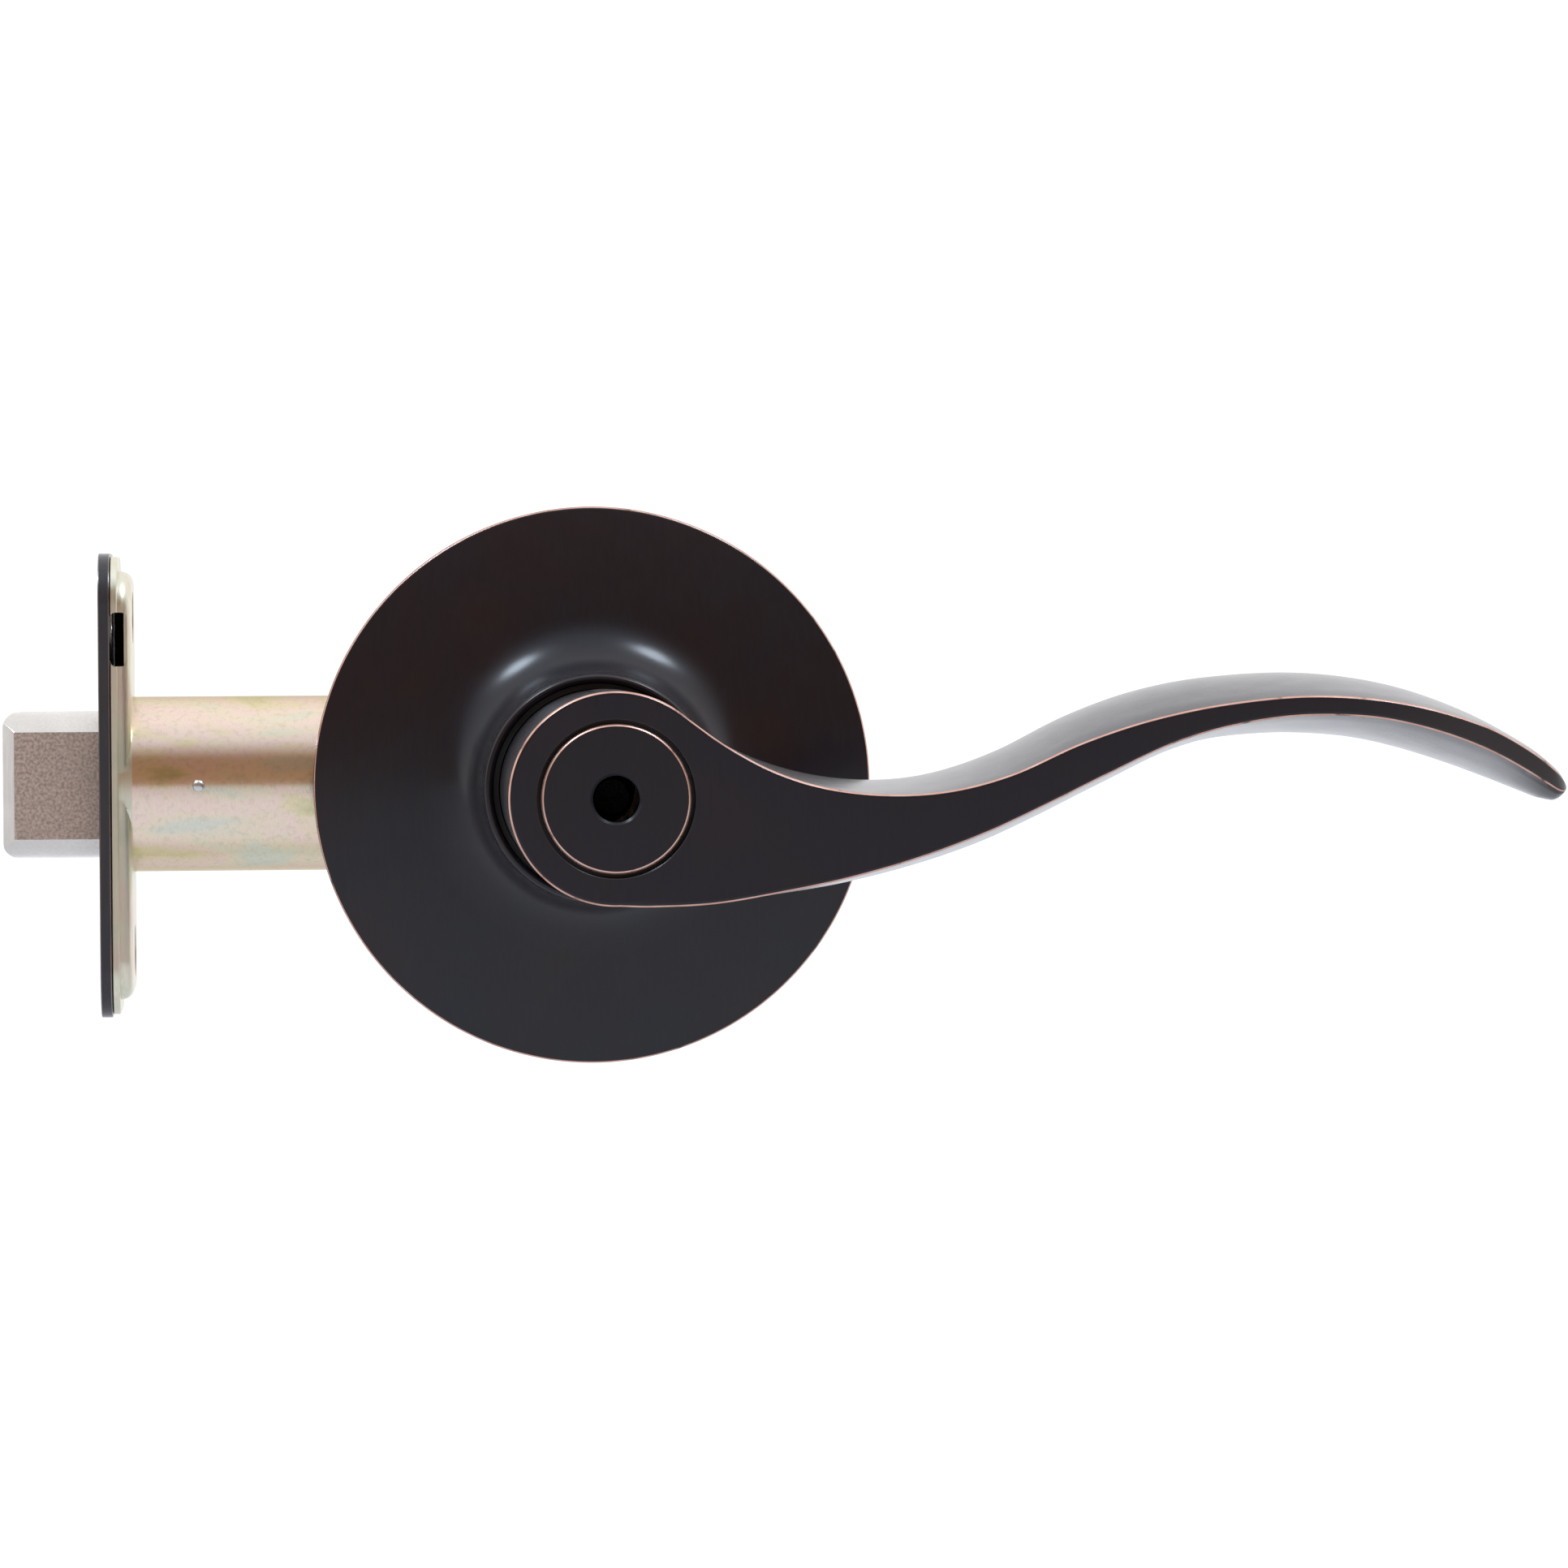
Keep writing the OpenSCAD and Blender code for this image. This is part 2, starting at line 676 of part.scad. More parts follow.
module latch_bolt() {
    bevel = 1.5;
    nose_side = 2.4;
    corner = 2;
    half_w = bolt_w / 2;
    x0 = edge_x - bolt_out;
    tail = [tail_half_w, tail_half_h];
    color("#b8b2ac") difference() {
        union() {
            along_latch(x0) linear_extrude(bolt_tail_x - x0) bolt_outline(0);
            box([bolt_tail_x - eps, latch_y - tail[0], -tail[1]], [bolt_end_x, latch_y + tail[0], tail[1]]);
        }
        // Sloping face that rides over the strike
        bolt_cut([
            [x0 - 1, -nose_side], [x0, -nose_side],
            [edge_x - 0.9, half_w + eps], [x0 - 1, half_w + eps]
        ]);
        // Small bevel along the nose's front edge
        bolt_cut([
            [x0 - 1, -half_w - 1], [x0 + bevel, -half_w - 1], [x0 + bevel, -half_w],
            [x0, -half_w + bevel], [x0 - 1, -half_w + bevel]
        ]);
        // Round corners at the nose's top and bottom
        for (s = [-1, 1]) translate([x0, latch_y, 0]) scale([1, 1, s]) translate([0, 0, bolt_r])
            outwards() linear_extrude(2 * bolt_w, center = true) difference() {
                translate([-1, -corner]) square(corner + 1);
                translate([corner, -corner]) circle(corner);
            }
        translate([bolt_pin_x, latch_y, -10]) cylinder(r = bolt_pin_r, h = 20);
    }
}

module bolt_pin() {
    color("#8a8b8e") translate([bolt_pin_x, latch_y, -strip_high])
        cylinder(r = bolt_pin_r, h = 2 * strip_high);
}

module bolt_spring() {
    color("#9fa1a4") along_latch(bolt_end_x + fit)
        coil(3.25, 0.45, stop_x - bolt_end_x - 2 * fit, 7, steps = 18);
}

// Upper half of the retractor, in the latch's own height
module retractor_half() {
    w = retractor_half_w;
    slot_x = -17.2;
    end_x = retractor_end_x;
    slot_high = 8.95;
    slot_w = arm_half_t + 0.3;
    difference() {
        union() {
            box([bolt_tail_x + fit, latch_y - w, strip_low], [end_x, latch_y + w, strip_high]);
            box([shoulder_x, latch_y - shoulder_half_w, strip_low],
                [end_x, latch_y + shoulder_half_w, shoulder_high]);
        }
        box([slot_x, latch_y - slot_w, strip_low - 1], [end_x + 1, latch_y + slot_w, slot_high]);
        translate([bolt_pin_x, latch_y, 0]) cylinder(r = bolt_pin_r, h = 20);
    }
}

module retractor() {
    color("#c4bfb2") {
        retractor_half();
        mirror([0, 0, 1]) retractor_half();
    }
}

module latch_cam() {
    half_hole = spindle_w / 2 + 2 * fit;
    bar_lean = arm_lean + 5;
    bar_half_w = 1;
    color("#d8d4c8") translate([0, latch_y, 0]) difference() {
        union() {
            ring_out(hub_r, 0, -hub_half, hub_half);
            for (s = [0, 1]) mirror([0, 0, s]) {
                rotate([0, -bar_lean, 0])
                    box([-bar_half_w, -arm_half_t, 0], [bar_half_w, arm_half_t, arm_len - 0.4]);
                translate([-arm_len * sin(arm_lean), 0, arm_len * cos(arm_lean)])
                    ring_out(arm_tip_r, 0, -arm_half_t, arm_half_t);
            }
        }
        box([-half_hole, -10, -half_hole], [half_hole, 10, half_hole]);
    }
}

lever();
lever_insert();
set_screw();
rotor();
spindle();
spindle_retainer();
release_rod();
release_spring();
rose_cover();
nylon_bushing();
thrust_washer();
mounting_plate();
threaded_posts();
plate_washer();
retaining_ring();
spring_case();
case_rivets();
return_spring();
faceplate();
backplate();
latch_tube();
tube_rivet();
latch_bolt();
bolt_pin();
bolt_spring();
spring_stop();
retractor();
latch_cam();
front_case_plate();
rear_case_plate();
case_spacers();
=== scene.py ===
"""Looks of a privacy door lever: dark bronze lever and rose, zinc-plated works and a tubular latch.

Lengths are in millimetres unless a name says otherwise, and become metres where a mesh is made.
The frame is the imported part's: the lever points along +X, the latch along -X, -Y is out of the door.
"Out" is a distance from the door's face along -Y.
"""

import json
import math

import bmesh
import bpy
from mathutils import Matrix, Vector


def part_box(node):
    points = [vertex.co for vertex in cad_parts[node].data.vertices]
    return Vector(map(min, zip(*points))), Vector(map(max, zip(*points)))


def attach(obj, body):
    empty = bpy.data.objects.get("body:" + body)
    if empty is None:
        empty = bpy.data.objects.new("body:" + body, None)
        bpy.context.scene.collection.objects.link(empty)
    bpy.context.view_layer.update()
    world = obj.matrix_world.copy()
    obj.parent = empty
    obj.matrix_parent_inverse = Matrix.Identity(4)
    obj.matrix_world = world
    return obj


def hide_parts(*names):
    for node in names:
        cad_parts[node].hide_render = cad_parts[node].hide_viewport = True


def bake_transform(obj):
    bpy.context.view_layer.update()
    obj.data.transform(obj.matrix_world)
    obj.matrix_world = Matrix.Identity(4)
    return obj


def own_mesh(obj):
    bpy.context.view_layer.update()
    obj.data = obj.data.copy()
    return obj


MM = 0.001
MIDDLE_R = 0.01          # where a solid piece's profile starts, so that no face is folded at its axis

# Lever, as in the part's design
LEVER_OUT = 60.0
LEVER_LENGTH = 109.4
HEAD_R = 12.2
NECK_R = 11.8
NECK_OUT = 14.5
SHOULDER_OUT = 20.2
BLADE_DEPTH = 25.0
BLADE_START = -2.0
CORE_R = 6.0
SOCKET_R = 8.05
SOCKET_OUT = 34.2
DISC_R = 8.55
DISC_T = 2.9
DISC_GAP = 0.45
RELEASE_HOLE_R = 2.65
SET_SCREW_OUT = 25.0
SET_SCREW_HOLE_R = 2.5
EDGE_R = 0.45            # rounding of the edges whose crest is rubbed to the copper
EDGE_TURNS = (0, 15, 34, 78, 90)  # the copper shows between the third and the fourth
HEAD_BACK_R = 11.85      # the head tapers to this, so that the casting leaves its mould
TIP_LENGTH = 14.4        # along which the blade's back rounds off
TIP_THINNING = 10.0      # along which its thickest place moves forward
TIP_ROUND = 1.5          # along which its outline rounds off
CURL_LENGTH = 9.8
CURL = 5.0
WIDEST = 0.78            # where the blade is thickest, as a share of its depth
TIP_WIDEST = 0.35        # the same, at the tip
BACK_END = 0.3
ROOT_FILLET = 4.5        # extra depth where the blade leaves the hub
ROOT_START = 6.0
ROOT_END = 25.0
BROKEN_EDGE = 0.3
DISC_LIP = 0.3           # chamfer round the release hole
DISC_SEAT_GAP = 0.1

# Upper and lower edge of the lever's front face, as (along +X, height)
TOP_EDGE = [
    (7.9, 9.25), (12.5, 5.95), (18, 3.0), (24, 1.1), (31, 0.3), (38, 0.7), (45, 2.5),
    (53, 6.0), (61, 8.6), (70, 10.4), (80, 11.2), (90, 10.3), (99, 7.75), (104.9, 4.6), (109.4, 1.3),
]
BOTTOM_EDGE = [
    (-2, -11.98), (0, -12.17), (4, -12.3), (11, -12.0), (18, -10.9), (26, -9.3), (34, -7.1),
    (42, -4.2), (49, -1.0), (56, 2.4), (64, 6.0), (72, 8.1), (80, 8.9), (89, 8.2), (99, 5.1),
    (109.4, -0.6),
]
# How far the blade swells above and below the edges of its front face
SWELL_TOP = [
    (-2, 0), (8, 0), (20, 0.8), (33, 1.25), (46, 2.2), (62, 2.9), (77, 2.5), (92, 2.0), (101, 1.4),
    (109.4, 0.5),
]
SWELL_BOTTOM = [
    (-2, 0), (8, 0), (20, 0.9), (32, 1.5), (45, 2.0), (58, 1.9), (68, 1.6), (76, 2.1), (86, 2.5),
    (96, 2.6), (104, 2.1), (109.4, 1.5),
]

# Rose
ROSE_R = 33.89
ROSE_OUT = 19.0
ROSE_EDGE = 2.4
ROSE_WALL = 1.0
COLLAR_R = 13.65
FLARE_R = 9.0
DOME_SLOPE = math.radians(11)

# Latch
LATCH_Y = 17.45          # the middle of the door
SHEET_T = 0.9
BACKPLATE_W = 24.6
BACKPLATE_H = 56.35
BACKPLATE_CORNER_R = 5.95
PAN_W = 21.4
PAN_H = 52.8
PAN_CORNER_R = 5.0
PAN_BEND_R = 1.5         # where the pan's sheet bends round to its back
TUBE_R = 10.85
TUBE_BORE_R = 9.2
SCREW_SPACING = 41.3
SCREW_CLEAR_R = 3.2
NOTCH_LOW = 14.7         # the notch in the pan's side, next to the upper screw
NOTCH_HIGH = 21.3
NOTCH_CORNER_R = 0.7
NOTCH_DEPTH = 1.5
PLATE_EDGE = 0.12        # how far the backplate's edges are broken
TUBE_EDGE = 0.25         # the same, on the tube
NIB_R = 0.76
NIB_STEM_R = 0.48
NIB_DOME = 0.45
BOLT_BEVEL = 0.2
BEVEL = 0.14             # on the edges of every other machined part

# Springs, as wire radius and turns
BOLT_WIRE_R = 0.45
BOLT_TURNS = 8.5
RELEASE_WIRE_R = 0.28
RELEASE_TURNS = 11
RETURN_WIRE_R = 0.6
RETURN_TURNS = 2.5
RETURN_LEG_X = 2.5       # where the return spring's legs stand, each side of the rotor's lug
END_TURNS = 0.12         # share of a compression spring's wire in the close turns at each end
END_PITCH = 0.35         # the pitch of those turns, as a share of an even pitch

# Camera at the photograph's viewing angle
CAMERA_PLACE = (-37.3, -800.0, 22.3)
CAMERA_YAW = math.radians(4.35)
CAMERA_PITCH = math.radians(-1.6)
CAMERA_ROLL = math.radians(-0.31)
CAMERA_LENS = 150.6
SENSOR_W = 36.0

# Light of the surroundings, as (degrees above the horizon in front of the lever, colour);
# 180 degrees is straight behind it
STUDIO = [
    (-180, (1.0, 1.0, 1.0)), (-150, (0.9, 0.9, 0.9)), (-110, (0.6, 0.6, 0.62)), (-80, (0.6, 0.6, 0.62)),
    (-1.7, (0.6, 0.6, 0.62)), (-1.3, (0.31, 0.20, 0.135)), (36, (0.26, 0.17, 0.12)),
    (60, (0.66, 0.69, 0.74)), (90, (0.88, 0.90, 0.94)), (180, (0.96, 0.96, 0.97)),
]
STUDIO_STRENGTH = 1.12

# Softboxes, as (name, place in metres, power in watts)
SOFTBOXES = [
    ("upper_left", (-0.386, -0.235, 0.658), 2.3),
    ("upper_right", (0.353, -0.255, 0.670), 2.1),
]
SOFTBOX_W = 0.2
SOFTBOX_TINT = (0.74, 0.86, 1.0)

# Floor, in metres: it is lit more strongly from the first place behind the part to the second
FLOOR_HALF = 8.0
FLOOR_LOW = -0.2
FLOOR_LIT_FROM = 0.15
FLOOR_LIT_TO = 0.65

# Bronze lacquer
GRAIN_TONE = (0.016, 0.012, 0.011)
WORN_TONE = (0.040, 0.034, 0.034)
WORN_FROM = 80.0         # the lever's end is worn lighter by hands
WORN_FADE = 26.0

# Between these, most of a noise texture's values lie
NOISE_LOW = 0.3
NOISE_HIGH = 0.7

# Sockets of a colour Mix node, whose names are the same for each of its types
MIX_SHARE, MIX_FIRST, MIX_SECOND = 0, 6, 7
MIX_COLOUR = 2


# ---------- curves and meshes ----------

def smooth(points, x):
    """Height at x of a smooth curve through a short list of points."""
    i = 0
    while i < len(points) - 2 and x > points[i + 1][0]:
        i += 1

    def slope(k):
        a, b = max(k - 1, 0), min(k + 1, len(points) - 1)
        return (points[b][1] - points[a][1]) / (points[b][0] - points[a][0])

    step = points[i + 1][0] - points[i][0]
    t = (x - points[i][0]) / step
    return (
        (2 * t**3 - 3 * t**2 + 1) * points[i][1]
        + (t**3 - 2 * t**2 + t) * step * slope(i)
        + (3 * t**2 - 2 * t**3) * points[i + 1][1]
        + (t**3 - t**2) * step * slope(i + 1)
    )


def rounded_edge(radius):
    """Points round an edge, as (distance in from the side, depth below the face)."""
    turns = [math.radians(angle) for angle in EDGE_TURNS]
    return [(radius * (1 - math.sin(a)), radius * (1 - math.cos(a))) for a in turns]


def ease(low, high, x):
    """0 below low, 1 above high, and smooth between."""
    t = min(1.0, max(0.0, (x - low) / (high - low)))
    return t * t * (3 - 2 * t)


def arc(centre, radius, start, end, steps):
    """Points of an arc in a profile, from angle start to angle end, in degrees."""
    points = []
    for i in range(steps + 1):
        angle = math.radians(start + (end - start) * i / steps)
        points.append((centre[0] + radius * math.cos(angle), centre[1] + radius * math.sin(angle)))
    return points


def finish_mesh(piece, sharp_angle=35):
    """Merges doubled points, turns every face outwards and shades the piece smooth with crisp edges."""
    mesh = piece.data
    work = bmesh.new()
    work.from_mesh(mesh)
    bmesh.ops.remove_doubles(work, verts=work.verts, dist=0.0005 * MM)
    bmesh.ops.recalc_face_normals(work, faces=work.faces)
    work.to_mesh(mesh)
    work.free()
    mesh.shade_smooth()
    mesh.set_sharp_from_angle(angle=math.radians(sharp_angle))
    mesh.update()
    return piece


def flat_shaded(piece):
    """Keeps a piece's large faces flat to the light, so that only its roundings shade off."""
    weighted = piece.modifiers.new("flat_shaded", "WEIGHTED_NORMAL")
    weighted.keep_sharp = True
    return piece


def mesh_piece(name, points, faces, marks=None):
    """A piece from points in millimetres; marks are its faces' material numbers."""
    mesh = bpy.data.meshes.new(name)
    mesh.from_pydata([Vector(p) * MM for p in points], [], faces)
    if marks:
        mesh.polygons.foreach_set("material_index", marks)
    piece = bpy.data.objects.new(name, mesh)
    bpy.context.scene.collection.objects.link(piece)
    return finish_mesh(piece)


def spin(name, profile, copper=(), steps=240, centre=(0, 0, 0), turn=None):
    """A ring-shaped piece: a closed profile of (radius, out) turned about the axis out of the door.
    copper holds the numbers of the profile's stretches that are rubbed to the copper."""
    count = len(profile)
    points = []
    for i in range(steps):
        angle = 2 * math.pi * i / steps
        for radius, out in profile:
            point = Vector((radius * math.cos(angle), -out, radius * math.sin(angle)))
            if turn:
                point = turn @ point
            points.append(point + Vector(centre))
    faces, marks = [], []
    for i in range(steps):
        k = (i + 1) % steps
        for j in range(count):
            m = (j + 1) % count
            faces.append((i * count + j, i * count + m, k * count + m, k * count + j))
            marks.append(1 if j in copper else 0)
    return mesh_piece(name, points, faces, marks)


def loft(name, rings, copper=()):
    """A closed skin over equal rings of points, with flat ends."""
    sides = len(rings[0])
    points = [p for ring in rings for p in ring]
    faces, marks = [], []
    for i in range(len(rings) - 1):
        for j in range(sides):
            k = (j + 1) % sides
            faces.append((i * sides + j, i * sides + k, (i + 1) * sides + k, (i + 1) * sides + j))
            marks.append(1 if j in copper else 0)
    last = (len(rings) - 1) * sides
    faces += [tuple(range(sides)), tuple(range(last, last + sides))]
    marks += [0, 0]
    return mesh_piece(name, points, faces, marks)


def combine(piece, other, operation):
    """Joins other to piece, or cuts it out of piece, and removes other."""
    for part in (piece, other):
        while len(part.data.materials) < 2:
            part.data.materials.append(bpy.data.materials.new("unfinished"))
    change = piece.modifiers.new("combine", "BOOLEAN")
    change.operation = operation
    change.solver = "EXACT"
    change.object = other
    graph = bpy.context.evaluated_depsgraph_get()
    mesh = bpy.data.meshes.new_from_object(piece.evaluated_get(graph))
    piece.modifiers.clear()
    piece.data = mesh
    bpy.data.objects.remove(other)
    return piece


# ---------- materials ----------

class Shader:
    """One procedural material, with short calls for the nodes that the finishes share."""

    def __init__(self, name, metallic, ior=1.5):
        self.material = bpy.data.materials.new(name)
        self.material.use_nodes = True
        self.tree = self.material.node_tree
        self.surface = self.tree.nodes["Principled BSDF"]
        self.surface.inputs["Metallic"].default_value = metallic
        self.surface.inputs["IOR"].default_value = ior
        self.place = self.add("ShaderNodeTexCoord").outputs["Object"]

    def add(self, kind, **settings):
        node = self.tree.nodes.new(kind)
        for key, value in settings.items():
            setattr(node, key, value)
        return node

    def link(self, source, target):
        self.tree.links.new(source, target)

    def noise(self, feature, stretch=(1, 1, 1), detail=4.0, distortion=0.0):
        """Noise whose features are about this many millimetres across."""
        scaled = self.add("ShaderNodeMapping")
        scaled.inputs["Scale"].default_value = stretch
        self.link(self.place, scaled.inputs["Vector"])
        texture = self.add("ShaderNodeTexNoise")
        texture.inputs["Scale"].default_value = 1 / (feature * MM)
        texture.inputs["Detail"].default_value = detail
        texture.inputs["Distortion"].default_value = distortion
        self.link(scaled.outputs["Vector"], texture.inputs["Vector"])
        return texture.outputs["Fac"]

    def ramp(self, value, *stops):
        """Maps a value to colours: stops are (place, colour)."""
        ramp = self.add("ShaderNodeValToRGB")
        elements = ramp.color_ramp.elements
        while len(elements) < len(stops):
            elements.new(1.0)
        for element, (place, colour) in zip(elements, stops):
            element.position = place
            element.color = (*colour, 1)
        self.link(value, ramp.inputs["Fac"])
        return ramp.outputs["Color"]

    def mix(self, share, first, second, blend="MIX"):
        mix = self.add("ShaderNodeMix", data_type="RGBA", blend_type=blend)
        for number, source in ((MIX_SHARE, share), (MIX_FIRST, first), (MIX_SECOND, second)):
            socket = mix.inputs[number]
            if isinstance(source, (int, float)):
                socket.default_value = source
            elif isinstance(source, tuple):
                socket.default_value = (*source, 1)
            else:
                self.link(source, socket)
        return mix.outputs[MIX_COLOUR]

    def spread(self, value, low, high):
        """Maps a noise value to a number between low and high."""
        scale = self.add("ShaderNodeMapRange")
        scale.inputs["From Min"].default_value = NOISE_LOW
        scale.inputs["From Max"].default_value = NOISE_HIGH
        scale.inputs["To Min"].default_value = low
        scale.inputs["To Max"].default_value = high
        self.link(value, scale.inputs["Value"])
        return scale.outputs["Result"]

    def along(self, axis, start, end):
        """A share that grows from 0 to 1 between two places along an axis, in millimetres."""
        split = self.add("ShaderNodeSeparateXYZ")
        self.link(self.place, split.inputs["Vector"])
        share = self.add("ShaderNodeMapRange", interpolation_type="SMOOTHSTEP")
        share.inputs["From Min"].default_value = start * MM
        share.inputs["From Max"].default_value = end * MM
        self.link(split.outputs[axis], share.inputs["Value"])
        return share.outputs["Result"]

    def colour(self, source):
        self.link(source, self.surface.inputs["Base Color"])

    def roughness(self, value, low, high):
        self.link(self.spread(value, low, high), self.surface.inputs["Roughness"])

    def bump(self, height, depth):
        """Raises the surface by this many millimetres where the height is 1."""
        bump = self.add("ShaderNodeBump")
        bump.inputs["Strength"].default_value = 0.6
        bump.inputs["Distance"].default_value = depth * MM
        self.link(height, bump.inputs["Height"])
        self.link(bump.outputs["Normal"], self.surface.inputs["Normal"])


def bronze(name, warm, cool, rough=(0.36, 0.46), worn_from=None):
    """Satin dark bronze lacquer: mottled between a warm and a cool black, with a faint grain.
    Hands have worn it lighter past worn_from, in millimetres along +X."""
    shader = Shader(name, metallic=0.0, ior=1.2)
    patches = shader.noise(14, detail=5, distortion=0.4)
    grain = shader.noise(0.5, stretch=(1, 1, 0.12), detail=3)
    tone = shader.ramp(patches, (0.36, cool), (0.64, warm))
    tone = shader.mix(shader.spread(grain, 0.0, 0.3), tone, GRAIN_TONE)
    if worn_from:
        tone = shader.mix(shader.along("X", worn_from, worn_from + WORN_FADE), tone, WORN_TONE)
    shader.colour(tone)
    shader.roughness(shader.noise(3.0, detail=6), *rough)
    shader.bump(grain, 0.006)
    shader.surface.inputs["Coat Weight"].default_value = 1.0
    shader.surface.inputs["Coat Roughness"].default_value = 0.22
    shader.surface.inputs["Coat IOR"].default_value = 1.4
    return shader.material


def copper(name, bare, light, covered=(0.06, 0.03, 0.024)):
    """Bevels where the lacquer is rubbed through to the copper, in patches."""
    shader = Shader(name, metallic=0.8)
    wear = shader.noise(2.6, detail=5)
    shader.colour(shader.ramp(wear, (0.28, covered), (0.40, bare), (0.7, light)))
    shader.roughness(shader.noise(0.8), 0.28, 0.42)
    return shader.material


def plated(name, tones, rough=(0.22, 0.36), feature=6.0, grain_stretch=(1, 1, 0.1), depth=0.004):
    """Zinc, nickel or bare steel: a few tones in soft patches, with a drawn grain."""
    shader = Shader(name, metallic=1.0)
    patches = shader.noise(feature, detail=4, distortion=0.6)
    grain = shader.noise(0.35, stretch=grain_stretch, detail=4)
    step = (NOISE_HIGH - NOISE_LOW) / (len(tones) - 1)
    stops = [(NOISE_LOW + step * i, tone) for i, tone in enumerate(tones)]
    tone = shader.ramp(patches, *stops)
    dark = tuple(0.7 * c for c in tones[0])
    shader.colour(shader.mix(shader.spread(grain, 0.0, 0.22), tone, dark))
    shader.roughness(grain, *rough)
    shader.bump(grain, depth)
    return shader.material


def grainy(name, light, dark, feature=0.3, rough=(0.45, 0.62), metallic=1.0, depth=0.02):
    """Sintered or cast metal, or moulded nylon: a fine even grain."""
    shader = Shader(name, metallic=metallic)
    grain = shader.noise(feature, detail=6)
    cloud = shader.noise(9, detail=3)
    tone = shader.ramp(grain, (0.35, dark), (0.62, light))
    shader.colour(shader.mix(shader.spread(cloud, 0.0, 0.25), tone, dark))
    shader.roughness(cloud, *rough)
    shader.bump(grain, depth)
    return shader.material


def tube_zinc():
    """Yellow chromate on a drawn tube: pink and green clouds, with fine lines round it and dark specks,
    and a darker, greener band low down along the tube."""
    shader = Shader("yellow_zinc_tube", metallic=1.0)
    shader.surface.inputs["Specular Tint"].default_value = (0.66, 0.63, 0.52, 1)
    film = shader.noise(9, stretch=(0.5, 0.7, 1.7), detail=9, distortion=0.6)
    drawn = shader.noise(0.6, stretch=(6, 1, 1), detail=4)
    specks = shader.noise(0.7, detail=5)
    tone = shader.ramp(
        film,
        (0.34, (0.66, 0.62, 0.36)), (0.43, (0.90, 0.77, 0.52)), (0.50, (0.97, 0.75, 0.66)),
        (0.57, (0.93, 0.79, 0.60)), (0.66, (0.78, 0.78, 0.66)),
    )
    tone = shader.mix(shader.spread(drawn, 0.0, 0.2), tone, (0.62, 0.50, 0.34))
    # A darker, greener band low down along the tube, set by height and multiplied into the tone.
    low_band_top = -3.0
    low_part = shader.along("Z", -TUBE_R, low_band_top)
    low_band_tint = shader.ramp(low_part, (0.04, (1, 1, 1)), (0.24, (0.80, 0.79, 0.62)), (0.65, (1, 1, 1)))
    tone = shader.mix(shader.spread(film, 1.0, 0.4), tone, low_band_tint, blend="MULTIPLY")
    shader.colour(shader.mix(shader.spread(specks, -0.25, 0.25), tone, (0.50, 0.44, 0.32)))
    shader.roughness(drawn, 0.13, 0.24)
    shader.bump(drawn, 0.002)
    return shader.material


